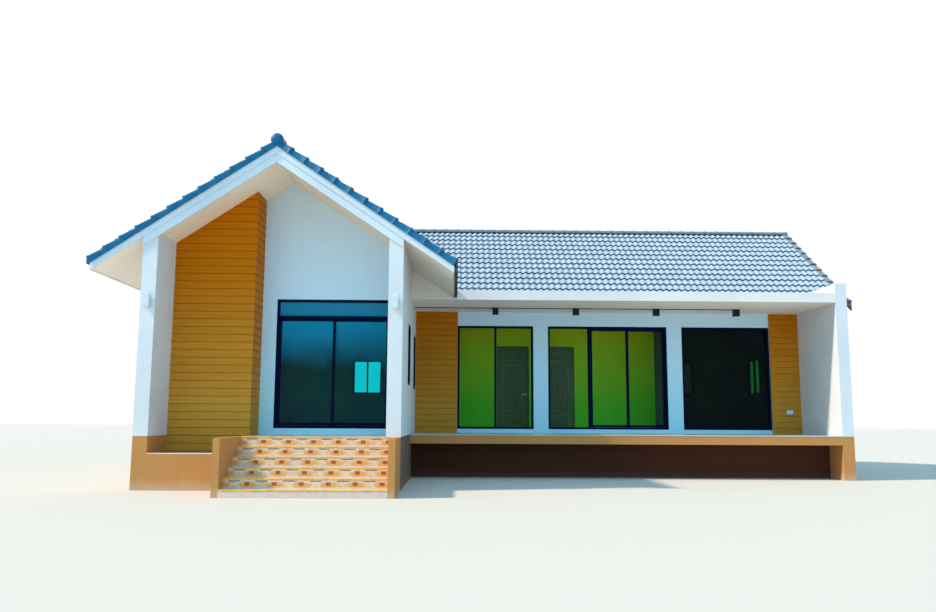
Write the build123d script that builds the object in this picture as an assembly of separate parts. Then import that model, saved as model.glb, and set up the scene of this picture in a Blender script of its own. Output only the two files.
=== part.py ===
from build123d import *
import math
import os

# Bungalow on a raised plinth: a gabled porch block on the left and a long roofed terrace on the right.
# Millimetres. House axes: X to the right along the front, Y to the back, Z up from the ground.
# House X = 0 is the outer face of the gable block's left wall, and house Y = 0 is the terrace's front edge.

# Stair, which sets the floor's level
RISER = 165.0
FIRST_RISER = 135.0
STEP_COUNT = 5
TREAD = 280.0
STEP_JOINT = 0.4
WING_T = 115.0

# Heights above the floor
ROOM_H = 2975.0
CEILING_T = 25.0
BEAM_RISE = 215.0
FIN_RISE = 430.0
SLAB_T = 200.0

# Widths along the front, from left to right
GABLE_W = 4800.0
CLAD_LEFT_W = 1035.0
WINDOW_1_W = 1875.0
PIER_1_W = 365.0
WINDOW_2_W = 2960.0
PIER_2_W = 370.0
WINDOW_3_W = 2190.0
CLAD_RIGHT_W = 715.0
FIN_T = 255.0

# Plan depths and wall thicknesses
TERRACE_D = 2190.0
HOUSE_BACK = 7300.0
WALL_T = 150.0
PLINTH_T = 200.0
VOID_D = 700.0
GABLE_FRONT = -3250.0
PORCH_WALL_Y = -1500.0
COLUMN_W = 268.0
BOX_FRONT = -2230.0
BOX_WALL_T = 120.0
BOX_W = 1830.0
PLANTER_Z = 650.0
PLANTER_T = 120.0
CLAD_T = 25.0

# Roof
PITCH = 34.0
ROOF_T = 100.0
EAVE_SETBACK = 763.0
REAR_EAVE = 637.0
GABLE_EAVE = 1010.0
RIGHT_VERGE = 475.0
GABLE_CAP_R = 120.0
GABLE_CAP_SINK = 25.0
MAIN_CAP_R = 80.0
MAIN_CAP_SINK = 40.0
CAP_T = 18.0
CAP_NOSE = 20.0
BARGE_T = 45.0
BARGE_H = 165.0
BARGE_SHADOW = 20.0
SOFFIT_DROP = 240.0
SOFFIT_T = 15.0
FASCIA_T = 25.0
GUTTER_T = 70.0
GUTTER_SHEET = 4.0
VERGE_T = 30.0
VERGE_H = 110.0
BEAM_T = 120.0

# Terrace windows and the glazed doors
FRAME_W = 50.0
FRAME_D = 100.0
FRAME_INSET = 25.0
GLASS_T = 10.0
FRONT_CURB_H = 100.0
FRONT_HEAD_H = 2635.0
FIXED_SHARE = 0.345
DOOR_PIER_LEFT = 300.0
DOOR_PIER_RIGHT = 334.0
PORCH_CURB_H = 130.0
PORCH_TRANSOM_H = 2403.0
PORCH_HEAD_H = 2740.0
LEAF_T = 36.0
LEAF_RAIL = 55.0
LEAF_LAP = 60.0
LEAF_GAP = 6.0
TRACK_GAP = 8.0
RUNNER_T = 12.0
RUNNER_FIT = 0.3

# Small windows: the first slot window lies behind the porch wall, the second in front of the terrace wall.
SMALL_FRAME = 40.0
SMALL_FRAME_D = 70.0
SLOT_W = 800.0
SLOT_CURB_H = 1045.0
SLOT_H = 1240.0
SLOT_FRONT_MARGIN = 120.0
SLOT_BACK_MARGIN = 270.0
SMALL_W = 860.0
SMALL_CURB_H = 1090.0
SMALL_H = 1010.0
REAR_OFFSETS = (-2125.0, 1420.0, 4120.0, 7420.0)
LEFT_FRONT_MARGIN = 1350.0
LEFT_BACK_MARGIN = 1710.0
RIGHT_W = 1040.0
RIGHT_BACK_MARGIN = 1000.0

# Interior partition and its doors
ROOM_D = 1710.0
PARTITION_T = 100.0
PARTITION_W = 6320.0
INNER_DOOR_W = 860.0
INNER_DOOR_H = 2280.0
INNER_DOOR_T = 40.0
INNER_DOOR_START = 2090.0
INNER_DOOR_PITCH = 1215.0
DOOR_GAP = 6.0
HINGE_LOW = 200.0
HINGE_HIGH = 1950.0
HINGE_PLATE = 33.0
HINGE_PLATE_T = 3.0
HINGE_SLIT = 0.4
KNUCKLE_R = 8.0
KNUCKLE_H = 30.0
KNUCKLE_COUNT = 3
KNUCKLE_FIT = 1.0

# Fittings
LAMP_COUNT = 4
LAMP_PITCH = 1928.0
LAMP_Y = 1350.0
LAMP_SIZE = 140.0
LAMP_H = 165.0
CONDUIT_W = 22.0
CONDUIT_H = 16.0
WALL_LAMP_W = 110.0
WALL_LAMP_D = 95.0
WALL_LAMP_H = 280.0
WALL_LAMP_LEVEL = 2310.0
SOCKET_W = 150.0
SOCKET_D = 45.0
SOCKET_H = 100.0
SOCKET_LEVEL = 490.0
SOCKET_MARGIN = 290.0

# How far a cutting solid runs past what it cuts
OVERCUT = 10.0

# Levels worked out from the driving dimensions
FLOOR_Z = FIRST_RISER + STEP_COUNT * RISER
SLAB_Z = FLOOR_Z - SLAB_T
CEILING_Z = FLOOR_Z + ROOM_H
BEAM_TOP_Z = CEILING_Z + BEAM_RISE
FIN_TOP_Z = CEILING_Z + FIN_RISE
FRONT_Z = (FLOOR_Z + FRONT_CURB_H, FLOOR_Z + FRONT_HEAD_H)
PORCH_SILL_Z = FLOOR_Z + PORCH_CURB_H
PORCH_TRANSOM_Z = FLOOR_Z + PORCH_TRANSOM_H
PORCH_HEAD_Z = FLOOR_Z + PORCH_HEAD_H
SMALL_Z = (FLOOR_Z + SMALL_CURB_H, FLOOR_Z + SMALL_CURB_H + SMALL_H)
SLOT_Z = (FLOOR_Z + SLOT_CURB_H, FLOOR_Z + SLOT_CURB_H + SLOT_H)

# Places along the front
WINDOW_1 = (GABLE_W + CLAD_LEFT_W, GABLE_W + CLAD_LEFT_W + WINDOW_1_W)
WINDOW_2 = (WINDOW_1[1] + PIER_1_W, WINDOW_1[1] + PIER_1_W + WINDOW_2_W)
WINDOW_3 = (WINDOW_2[1] + PIER_2_W, WINDOW_2[1] + PIER_2_W + WINDOW_3_W)
FIN_X = WINDOW_3[1] + CLAD_RIGHT_W
HOUSE_W = FIN_X + FIN_T
FIXED_BAR_X = WINDOW_2[0] + FIXED_SHARE * WINDOW_2_W
PORCH_DOOR = (BOX_W + DOOR_PIER_LEFT, GABLE_W - DOOR_PIER_RIGHT)
WING_LEFT_X = BOX_W
WING_RIGHT_X = GABLE_W - WING_T
STAIR_X = (WING_LEFT_X + WING_T, WING_RIGHT_X)
STAIR_FRONT = GABLE_FRONT - STEP_COUNT * TREAD
BOX_BACK = BOX_FRONT + BOX_WALL_T
PORCH_WALL_BACK = PORCH_WALL_Y + WALL_T
PARTITION_Y = TERRACE_D + ROOM_D
PARTITION_BACK = PARTITION_Y + PARTITION_T
INNER_DOOR_X = (GABLE_W + INNER_DOOR_START, GABLE_W + INNER_DOOR_START + INNER_DOOR_PITCH)

# Small windows, as spans along the wall that holds them
SLOT_WINDOWS = ((PORCH_WALL_BACK + SLOT_FRONT_MARGIN, PORCH_WALL_BACK + SLOT_FRONT_MARGIN + SLOT_W),
                (TERRACE_D - SLOT_BACK_MARGIN - SLOT_W, TERRACE_D - SLOT_BACK_MARGIN))
REAR_WINDOWS = tuple((GABLE_W + offset, GABLE_W + offset + SMALL_W) for offset in REAR_OFFSETS)
LEFT_WINDOWS = ((PORCH_WALL_Y + LEFT_FRONT_MARGIN, PORCH_WALL_Y + LEFT_FRONT_MARGIN + SMALL_W),
                (HOUSE_BACK - LEFT_BACK_MARGIN - SMALL_W, HOUSE_BACK - LEFT_BACK_MARGIN))
RIGHT_WINDOWS = ((HOUSE_BACK - RIGHT_BACK_MARGIN - RIGHT_W, HOUSE_BACK - RIGHT_BACK_MARGIN),)

# Roof lines: both roofs share one pitch and one ridge level, and each ridge is midway between its eaves.
TAN = math.tan(math.radians(PITCH))
ROOF_V = ROOF_T / math.cos(math.radians(PITCH))
RIDGE_X = GABLE_W / 2
GABLE_HALF = RIDGE_X + GABLE_EAVE
EAVE_RUN = (HOUSE_BACK + REAR_EAVE - EAVE_SETBACK) / 2
FRONT_EAVE_Y = EAVE_SETBACK
REAR_EAVE_Y = HOUSE_BACK + REAR_EAVE
RIDGE_Y = EAVE_SETBACK + EAVE_RUN
UNDER_RIDGE_Z = CEILING_Z + CEILING_T + TAN * EAVE_RUN
RIDGE_Z = UNDER_RIDGE_Z + ROOF_V
SKY_Z = RIDGE_Z + ROOF_T
BARGE_FRONT = GABLE_FRONT - BARGE_T
CAP_FRONT = BARGE_FRONT - CAP_NOSE
ROOF_LEFT = -GABLE_EAVE
ROOF_RIGHT = HOUSE_W + RIGHT_VERGE
TILE_EDGES = (RIDGE_X - GABLE_HALF, RIDGE_X + GABLE_HALF)
BOARD_EDGES = (TILE_EDGES[0] + GUTTER_T, TILE_EDGES[1] - GUTTER_T)
LEFT_EAVE_END = RIDGE_Y - GABLE_HALF

# The part's origin is the middle of its footprint on the ground.
ORIGIN = ((ROOF_LEFT + ROOF_RIGHT) / 2, (STAIR_FRONT + REAR_EAVE_Y) / 2, 0.0)


def slab(x, y, z):
    """A box between two corners, given as pairs of house coordinates."""
    size = (x[1] - x[0], y[1] - y[0], z[1] - z[0])
    centre = ((x[0] + x[1]) / 2, (y[0] + y[1]) / 2, (z[0] + z[1]) / 2)
    return Pos(*centre) * Box(*size)


def prism_y(points, y):
    """A solid whose XZ outline is drawn in the front view and runs from y[0] to y[1]."""
    plane = Plane(origin=(0, y[0], 0), x_dir=(1, 0, 0), z_dir=(0, -1, 0))
    return extrude(plane * make_face(Polyline(*points, close=True)), -(y[1] - y[0]))


def prism_x(points, x):
    """A solid whose YZ outline is drawn in the side view and runs from x[0] to x[1]."""
    plane = Plane(origin=(x[0], 0, 0), x_dir=(0, 1, 0), z_dir=(1, 0, 0))
    return extrude(plane * make_face(Polyline(*points, close=True)), x[1] - x[0])


def prism_z(points, z):
    """A solid whose plan outline runs from z[0] up to z[1]."""
    plane = Plane(origin=(0, 0, z[0]))
    return extrude(plane * make_face(Polyline(*points, close=True)), z[1] - z[0])


def shrunk(span, by):
    """A span with the same amount taken off both ends."""
    return (span[0] + by, span[1] - by)


def around(centre, size):
    """A span of the given size about its centre."""
    return (centre - size / 2, centre + size / 2)


def gable_z(x, drop=0.0):
    """Height of the gable roof's underside at house X, less a drop."""
    return UNDER_RIDGE_Z - drop - TAN * abs(x - RIDGE_X)


def main_z(y, drop=0.0):
    """Height of the main roof's underside at house Y, less a drop."""
    return UNDER_RIDGE_Z - drop - TAN * abs(y - RIDGE_Y)


def framed(x, z, y, bars=()):
    """A rectangular frame with upright bars, given as centres along X."""
    ring = slab(x, y, z) - slab(shrunk(x, FRAME_W), shrunk(y, -OVERCUT), shrunk(z, FRAME_W))
    for bar in bars:
        ring += slab(around(bar, FRAME_W), y, z)
    return ring


# Plinth, floors and stair
def plinth_left():
    column = slab((0, COLUMN_W), (GABLE_FRONT, BOX_BACK), (0, FLOOR_Z))
    wall = slab((0, PLINTH_T), (BOX_BACK, HOUSE_BACK - PLINTH_T), (0, FLOOR_Z))
    return column + wall


def plinth_rear():
    return slab((0, HOUSE_W), (HOUSE_BACK - PLINTH_T, HOUSE_BACK), (0, FLOOR_Z))


def plinth_right():
    return slab((FIN_X, HOUSE_W), (0, HOUSE_BACK - PLINTH_T), (0, FLOOR_Z))


def plinth_front():
    return slab((GABLE_W, FIN_X), (VOID_D, VOID_D + PLINTH_T), (0, SLAB_Z))


def plinth_gable():
    return slab((GABLE_W - PLINTH_T, GABLE_W), (GABLE_FRONT, TERRACE_D), (0, FLOOR_Z))


def planter_wall():
    return slab((COLUMN_W, WING_LEFT_X), (GABLE_FRONT, GABLE_FRONT + PLANTER_T), (0, PLANTER_Z))


def stair_wings():
    left = slab((WING_LEFT_X, STAIR_X[0]), (STAIR_FRONT, BOX_BACK), (0, FLOOR_Z))
    right = slab((WING_RIGHT_X, GABLE_W), (STAIR_FRONT, GABLE_FRONT), (0, FLOOR_Z))
    return [left, right]


def stair_steps():
    steps = []
    for k in range(STEP_COUNT):
        front = STAIR_FRONT + k * TREAD
        steps.append(slab(STAIR_X, (front, front + TREAD - STEP_JOINT), (0, FIRST_RISER + k * RISER)))
    return steps


def ground_floor():
    z = (SLAB_Z, FLOOR_Z)
    porch = slab((STAIR_X[0], GABLE_W - PLINTH_T), (GABLE_FRONT, BOX_BACK), z)
    gable = slab((PLINTH_T, GABLE_W - PLINTH_T), (BOX_BACK, TERRACE_D), z)
    main_block = slab((PLINTH_T, FIN_X), (TERRACE_D, HOUSE_BACK - PLINTH_T), z)
    return porch + gable + main_block


def terrace_slab():
    return slab((GABLE_W, FIN_X), (0, TERRACE_D), (SLAB_Z, FLOOR_Z))


# The space under the roof, which trims every wall that reaches it
def under_gable(drop=0.0):
    left, right = TILE_EDGES
    outline = [(left, 0), (right, 0), (right, gable_z(right, drop)), (RIDGE_X, gable_z(RIDGE_X, drop)),
               (left, gable_z(left, drop))]
    return prism_y(outline, (BARGE_FRONT, RIDGE_Y))


def under_main():
    outline = [(FRONT_EAVE_Y, 0), (REAR_EAVE_Y, 0), (REAR_EAVE_Y, main_z(REAR_EAVE_Y)),
               (RIDGE_Y, main_z(RIDGE_Y)), (FRONT_EAVE_Y, main_z(FRONT_EAVE_Y))]
    return prism_x(outline, (ROOF_LEFT, ROOF_RIGHT))


def under_roof():
    return under_gable() + under_main()


# Walls above the plinth
def gable_columns():
    z = (FLOOR_Z, SKY_Z)
    left = slab((0, COLUMN_W), (GABLE_FRONT, BOX_BACK), z)
    right = slab((GABLE_W - COLUMN_W, GABLE_W), (GABLE_FRONT, PORCH_WALL_Y), z)
    return [left & under_gable(), right & under_gable()]


def clad_box():
    front = slab((COLUMN_W, BOX_W), (BOX_FRONT, BOX_BACK), (0, SKY_Z))
    side = slab((BOX_W - BOX_WALL_T, BOX_W), (BOX_BACK, PORCH_WALL_Y), (FLOOR_Z, SKY_Z))
    return (front + side) & under_gable(SOFFIT_DROP)


def porch_wall_piers():
    y = (PORCH_WALL_Y, PORCH_WALL_BACK)
    left = slab((BOX_W - BOX_WALL_T, PORCH_DOOR[0]), y, (FLOOR_Z, PORCH_HEAD_Z))
    right = slab((PORCH_DOOR[1], GABLE_W - WALL_T), y, (FLOOR_Z, PORCH_HEAD_Z))
    return [left, right]


def porch_wall_gable():
    head = slab((WALL_T, GABLE_W - WALL_T), (PORCH_WALL_Y, PORCH_WALL_BACK), (PORCH_HEAD_Z, SKY_Z))
    return head & under_gable()


def window_sills():
    y = (TERRACE_D, TERRACE_D + WALL_T)
    sills = [slab(x, y, (FLOOR_Z, FRONT_Z[0])) for x in (WINDOW_1, WINDOW_2, WINDOW_3)]
    sills.append(slab(PORCH_DOOR, (PORCH_WALL_Y, PORCH_WALL_BACK), (FLOOR_Z, PORCH_SILL_Z)))
    return sills


def gable_right_wall():
    x = (GABLE_W - WALL_T, GABLE_W)
    wall = slab(x, (PORCH_WALL_Y, TERRACE_D), (FLOOR_Z, SKY_Z)) & under_roof()
    for y in SLOT_WINDOWS:
        wall -= slab(shrunk(x, -OVERCUT), y, SLOT_Z)
    return wall


def front_wall_piers():
    spans = [(GABLE_W - WALL_T, WINDOW_1[0]), (WINDOW_1[1], WINDOW_2[0]), (WINDOW_2[1], WINDOW_3[0]),
             (WINDOW_3[1], HOUSE_W - WALL_T)]
    return [slab(x, (TERRACE_D, TERRACE_D + WALL_T), (FLOOR_Z, FRONT_Z[1])) for x in spans]


def front_wall_head():
    x = (GABLE_W - WALL_T, HOUSE_W - WALL_T)
    return slab(x, (TERRACE_D, TERRACE_D + WALL_T), (FRONT_Z[1], SKY_Z)) & under_roof()


def fin_wall():
    """The tall wall on the terrace's right: level in front, then up along the roof's underside."""
    crossing = RIDGE_Y - (UNDER_RIDGE_Z - FIN_TOP_Z) / TAN
    outline = [(0, FLOOR_Z), (TERRACE_D, FLOOR_Z), (TERRACE_D, main_z(TERRACE_D)), (crossing, FIN_TOP_Z),
               (0, FIN_TOP_Z)]
    return prism_x(outline, (FIN_X, HOUSE_W))


def rear_wall():
    y = (HOUSE_BACK - WALL_T, HOUSE_BACK)
    wall = slab((0, HOUSE_W), y, (FLOOR_Z, SKY_Z)) & under_roof()
    for x in REAR_WINDOWS:
        wall -= slab(x, shrunk(y, -OVERCUT), SMALL_Z)
    return wall


def left_wall():
    x = (0, WALL_T)
    wall = slab(x, (BOX_BACK, HOUSE_BACK - WALL_T), (FLOOR_Z, SKY_Z)) & under_roof()
    for y in LEFT_WINDOWS:
        wall -= slab(shrunk(x, -OVERCUT), y, SMALL_Z)
    return wall


def right_wall():
    x = (HOUSE_W - WALL_T, HOUSE_W)
    wall = slab(x, (TERRACE_D, HOUSE_BACK - WALL_T), (FLOOR_Z, SKY_Z)) & under_roof()
    for y in RIGHT_WINDOWS:
        wall -= slab(shrunk(x, -OVERCUT), y, SMALL_Z)
    return wall


def clad_panels():
    y = (TERRACE_D - CLAD_T, TERRACE_D)
    left = slab((GABLE_W, WINDOW_1[0]), y, (FLOOR_Z, CEILING_Z))
    right = slab((WINDOW_3[1], FIN_X), y, (FLOOR_Z, CEILING_Z))
    return [left, right]


# Ceilings and the terrace edge beam
def terrace_beam():
    edge = TILE_EDGES[1]
    outline = [(GABLE_W, CEILING_Z), (FIN_X, CEILING_Z), (FIN_X, BEAM_TOP_Z), (edge, BEAM_TOP_Z),
               (edge, gable_z(edge)), (GABLE_W, gable_z(GABLE_W))]
    return prism_y(outline, (0, BEAM_T))


def terrace_soffit():
    return slab((GABLE_W, FIN_X), (BEAM_T, TERRACE_D), (CEILING_Z, CEILING_Z + CEILING_T))


def ceiling():
    z = (CEILING_Z, CEILING_Z + CEILING_T)
    gable = slab((WALL_T, GABLE_W - WALL_T), (PORCH_WALL_BACK, HOUSE_BACK - WALL_T), z)
    main_block = slab((GABLE_W - WALL_T, HOUSE_W - WALL_T), (TERRACE_D + WALL_T, HOUSE_BACK - WALL_T), z)
    return gable + main_block


# Roof: each slope is a slab of tiles and battens, trimmed in plan along the valleys
def main_slope(direction):
    """The front (-1) or rear (+1) slope of the main roof over its whole length."""
    eave = RIDGE_Y + direction * EAVE_RUN
    low = main_z(eave)
    outline = [(RIDGE_Y, UNDER_RIDGE_Z), (RIDGE_Y, RIDGE_Z), (eave, low + ROOF_V), (eave, low)]
    return prism_x(outline, (ROOF_LEFT, ROOF_RIGHT))


def gable_slope(direction):
    """The left (-1) or right (+1) slope of the gable roof, from the barge board to the main ridge."""
    eave = RIDGE_X + direction * GABLE_HALF
    low = gable_z(eave)
    outline = [(RIDGE_X, UNDER_RIDGE_Z), (RIDGE_X, RIDGE_Z), (eave, low + ROOF_V), (eave, low)]
    return prism_y(outline, (BARGE_FRONT, RIDGE_Y))


def valley_plan(direction):
    """Plan of one gable slope: a strip that ends at the 45 degree valley."""
    eave = RIDGE_X + direction * GABLE_HALF
    points = [(RIDGE_X, BARGE_FRONT), (eave, BARGE_FRONT), (eave, LEFT_EAVE_END), (RIDGE_X, RIDGE_Y)]
    return prism_z(points, (0, SKY_Z))


def main_roof_front():
    eave = TILE_EDGES[1]
    points = [(RIDGE_X, RIDGE_Y), (eave, LEFT_EAVE_END), (eave, FRONT_EAVE_Y), (ROOF_RIGHT, FRONT_EAVE_Y),
              (ROOF_RIGHT, RIDGE_Y)]
    return (main_slope(-1) & prism_z(points, (0, SKY_Z))) - fin_wall()


def main_roof_front_left():
    points = [(RIDGE_X, RIDGE_Y), (ROOF_LEFT, RIDGE_Y), (ROOF_LEFT, LEFT_EAVE_END)]
    return main_slope(-1) & prism_z(points, (0, SKY_Z))


def main_roof_rear():
    return main_slope(1)


def gable_roof_left():
    return gable_slope(-1) & valley_plan(-1)


def gable_roof_right():
    return gable_slope(1) & valley_plan(1)


def roof_solid():
    """The two roofs filled down to the ground, for trimming what sits on the tiles."""
    left, right = TILE_EDGES
    gable = [(left, 0), (right, 0), (right, gable_z(right) + ROOF_V), (RIDGE_X, RIDGE_Z),
             (left, gable_z(left) + ROOF_V)]
    main_block = [(FRONT_EAVE_Y, 0), (REAR_EAVE_Y, 0), (REAR_EAVE_Y, main_z(REAR_EAVE_Y) + ROOF_V),
                  (RIDGE_Y, RIDGE_Z), (FRONT_EAVE_Y, main_z(FRONT_EAVE_Y) + ROOF_V)]
    length = shrunk((ROOF_LEFT, ROOF_RIGHT), -OVERCUT)
    return prism_y(gable, (CAP_FRONT, RIDGE_Y)) + prism_x(main_block, length)


def half_round(radius, length):
    """A round ridge cap along X, centred on the origin line; its lower half is cut away by the roof."""
    outer = Cylinder(radius, length, rotation=(0, 90, 0))
    bore = Cylinder(radius - CAP_T, length + 2 * OVERCUT, rotation=(0, 90, 0))
    return outer - bore


def ridge_caps():
    """The caps of both ridges, with a round end disc at the front and the back of the gable's ridge."""
    main_place = Pos((ROOF_LEFT + ROOF_RIGHT) / 2, RIDGE_Y, RIDGE_Z - MAIN_CAP_SINK)
    main_length = ROOF_RIGHT - ROOF_LEFT
    main_bore = main_place * Cylinder(MAIN_CAP_R - CAP_T, main_length, rotation=(0, 90, 0))
    gable_place = Pos(RIDGE_X, (CAP_FRONT + RIDGE_Y) / 2, RIDGE_Z - GABLE_CAP_SINK) * Rot(0, 0, 90)
    caps = main_place * half_round(MAIN_CAP_R, main_length)
    caps += gable_place * half_round(GABLE_CAP_R, RIDGE_Y - CAP_FRONT)
    caps += gable_disc(RIDGE_Y - CAP_T / 2)
    return (caps - roof_solid() - main_bore) + gable_disc(CAP_FRONT + CAP_T / 2)


def gable_disc(y):
    return Pos(RIDGE_X, y, RIDGE_Z - GABLE_CAP_SINK) * Cylinder(GABLE_CAP_R, CAP_T, rotation=(90, 0, 0))


# Roof trim
def chevron(span, drops, y):
    """A gable-shaped board in the front view, between two drops below the tiles."""
    left, right = span
    top, low = drops
    outline = [(left, gable_z(left, top)), (RIDGE_X, gable_z(RIDGE_X, top)), (right, gable_z(right, top)),
               (right, gable_z(right, low)), (RIDGE_X, gable_z(RIDGE_X, low)), (left, gable_z(left, low))]
    return prism_y(outline, y)


def barge_boards():
    upper = chevron(BOARD_EDGES, (0, BARGE_H), (BARGE_FRONT, GABLE_FRONT))
    lower = chevron((0, GABLE_W), (BARGE_H, 2 * BARGE_H), (BARGE_FRONT + BARGE_SHADOW, GABLE_FRONT))
    return upper + lower


def porch_soffit():
    span = (COLUMN_W, GABLE_W - COLUMN_W)
    return chevron(span, (SOFFIT_DROP - SOFFIT_T, SOFFIT_DROP), (GABLE_FRONT, PORCH_WALL_Y))


def eave_board(x, y):
    """A sloping soffit board, level with the lower edge of the upper barge board."""
    outline = [(x[0], gable_z(x[0], BARGE_H - SOFFIT_T)), (x[1], gable_z(x[1], BARGE_H - SOFFIT_T)),
               (x[1], gable_z(x[1], BARGE_H)), (x[0], gable_z(x[0], BARGE_H))]
    return prism_y(outline, y)


def eave_soffits():
    right = eave_board((GABLE_W, BOARD_EDGES[1] - FASCIA_T), (GABLE_FRONT, 0))
    left = eave_board((BOARD_EDGES[0] + FASCIA_T, 0), (GABLE_FRONT, LEFT_EAVE_END))
    return [left, right]


def eave_fascias():
    left, right = BOARD_EDGES
    z = (gable_z(right, BARGE_H), gable_z(right))
    return [slab((left, left + FASCIA_T), (GABLE_FRONT, LEFT_EAVE_END), z),
            slab((right - FASCIA_T, right), (GABLE_FRONT, 0), z)]


def eave_gutters():
    """An open channel under the tiles of the gable's right-hand eave, closed at both ends."""
    x = (BOARD_EDGES[1], TILE_EDGES[1])
    y = (GABLE_FRONT, 0)
    z = (gable_z(x[0], BARGE_H - SOFFIT_T), gable_z(x[1]))
    hollow = slab(shrunk(x, GUTTER_SHEET), shrunk(y, GUTTER_SHEET), (z[0] + GUTTER_SHEET, SKY_Z))
    return slab(x, y, z) - hollow


def verge_board(x, y_start):
    """A board under the tiles along one verge of the main roof, from y_start over to the rear eave."""
    outline = [(y_start, main_z(y_start)), (RIDGE_Y, main_z(RIDGE_Y)), (REAR_EAVE_Y, main_z(REAR_EAVE_Y)),
               (REAR_EAVE_Y, main_z(REAR_EAVE_Y, VERGE_H)), (RIDGE_Y, main_z(RIDGE_Y, VERGE_H)),
               (y_start, main_z(y_start, VERGE_H))]
    return prism_x(outline, x)


def verge_boards():
    """The boards of both verges, joined along the rear eave by its fascia."""
    right = verge_board((ROOF_RIGHT - VERGE_T, ROOF_RIGHT), FRONT_EAVE_Y)
    left = verge_board((ROOF_LEFT, ROOF_LEFT + VERGE_T), LEFT_EAVE_END + FASCIA_T)
    z = (main_z(REAR_EAVE_Y, VERGE_H), main_z(REAR_EAVE_Y))
    rear = slab((ROOF_LEFT + VERGE_T, ROOF_RIGHT - VERGE_T), (REAR_EAVE_Y - VERGE_T, REAR_EAVE_Y), z)
    return left + right + rear


# Windows, doors and glass
def frame_span(wall_face):
    """Depth span of a frame that is set back from the face of its wall."""
    return (wall_face + FRAME_INSET, wall_face + FRAME_INSET + FRAME_D)


def pane_span(wall_face):
    """Depth span of a pane in the middle of such a frame."""
    return around(wall_face + FRAME_INSET + FRAME_D / 2, GLASS_T)


def porch_door_frame():
    y = frame_span(PORCH_WALL_Y)
    ring = framed(PORCH_DOOR, (PORCH_SILL_Z, PORCH_HEAD_Z), y)
    return ring + slab(PORCH_DOOR, y, (PORCH_TRANSOM_Z - FRAME_W, PORCH_TRANSOM_Z))


def terrace_door_frame():
    return framed(WINDOW_2, FRONT_Z, frame_span(TERRACE_D), [FIXED_BAR_X])


def leaf(x, y, z):
    """A glazed sliding leaf: rails round one pane, and two runners that stand on the sill's track."""
    middle = (y[0] + y[1]) / 2
    inner_x = shrunk(x, LEAF_RAIL)
    inner_z = shrunk(z, LEAF_RAIL)
    ring = slab(x, y, z) - slab(inner_x, shrunk(y, -OVERCUT), inner_z)
    ring += slab(inner_x, around(middle, GLASS_T), inner_z)
    for edge in (inner_x[0], inner_x[1] - LEAF_RAIL):
        runner_z = (z[0] - LEAF_GAP + RUNNER_FIT, z[0])
        ring += slab((edge, edge + LEAF_RAIL), around(middle, RUNNER_T), runner_z)
    return ring


def leaf_places(opening, wall_face, z):
    """The places of two leaves that lap at the middle: left on the front track, right on the rear one."""
    left = opening[0] + FRAME_W + LEAF_GAP
    right = opening[1] - FRAME_W - LEAF_GAP
    middle = (left + right) / 2
    track = wall_face + FRAME_INSET + TRACK_GAP
    front = (track, track + LEAF_T)
    rear = (front[1] + TRACK_GAP, front[1] + TRACK_GAP + LEAF_T)
    height = shrunk(z, FRAME_W + LEAF_GAP)
    return ((left, middle + LEAF_LAP / 2), front, height), ((middle - LEAF_LAP / 2, right), rear, height)


def porch_leaves():
    return leaf_places(PORCH_DOOR, PORCH_WALL_Y, (PORCH_SILL_Z, PORCH_TRANSOM_Z))


def terrace_leaves():
    return leaf_places((FIXED_BAR_X - FRAME_W / 2, WINDOW_2[1]), TERRACE_D, FRONT_Z)


def window_frames():
    y = frame_span(TERRACE_D)
    bar_1 = (WINDOW_1[0] + WINDOW_1[1]) / 2
    return [framed(WINDOW_1, FRONT_Z, y, [bar_1]), framed(WINDOW_3, FRONT_Z, y)] + small_window_frames()


def window_glass():
    y = pane_span(TERRACE_D)
    z = shrunk(FRONT_Z, FRAME_W)
    bar_1 = (WINDOW_1[0] + WINDOW_1[1]) / 2
    half = FRAME_W / 2
    spans = [(WINDOW_1[0] + FRAME_W, bar_1 - half), (bar_1 + half, WINDOW_1[1] - FRAME_W),
             (WINDOW_2[0] + FRAME_W, FIXED_BAR_X - half), shrunk(WINDOW_3, FRAME_W)]
    transom_z = (PORCH_TRANSOM_Z, PORCH_HEAD_Z - FRAME_W)
    transom = slab(shrunk(PORCH_DOOR, FRAME_W), pane_span(PORCH_WALL_Y), transom_z)
    return [slab(x, y, z) for x in spans] + [transom] + small_window_glass()


def small_places():
    """Each small window as its box in the wall: (x, y, z) with the wall's own thickness."""
    places = [((GABLE_W - WALL_T, GABLE_W), y, SLOT_Z) for y in SLOT_WINDOWS]
    places += [((0, WALL_T), y, SMALL_Z) for y in LEFT_WINDOWS]
    places += [((HOUSE_W - WALL_T, HOUSE_W), y, SMALL_Z) for y in RIGHT_WINDOWS]
    places += [(x, (HOUSE_BACK - WALL_T, HOUSE_BACK), SMALL_Z) for x in REAR_WINDOWS]
    return places


def small_window_frames():
    """Frames of the small windows, each with one upright bar in the middle."""
    inset = (WALL_T - SMALL_FRAME_D) / 2
    frames = []
    for x, y, z in small_places():
        if x[1] - x[0] > y[1] - y[0]:
            y = shrunk(y, inset)
            hole = slab(shrunk(x, SMALL_FRAME), shrunk(y, -OVERCUT), shrunk(z, SMALL_FRAME))
            bar = slab(around((x[0] + x[1]) / 2, SMALL_FRAME), y, z)
        else:
            x = shrunk(x, inset)
            hole = slab(shrunk(x, -OVERCUT), shrunk(y, SMALL_FRAME), shrunk(z, SMALL_FRAME))
            bar = slab(x, around((y[0] + y[1]) / 2, SMALL_FRAME), z)
        frames.append(slab(x, y, z) - hole + bar)
    return frames


def half_panes(span):
    """The clear spans on both sides of a small window's middle bar."""
    middle = (span[0] + span[1]) / 2
    half = SMALL_FRAME / 2
    return (span[0] + SMALL_FRAME, middle - half), (middle + half, span[1] - SMALL_FRAME)


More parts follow.
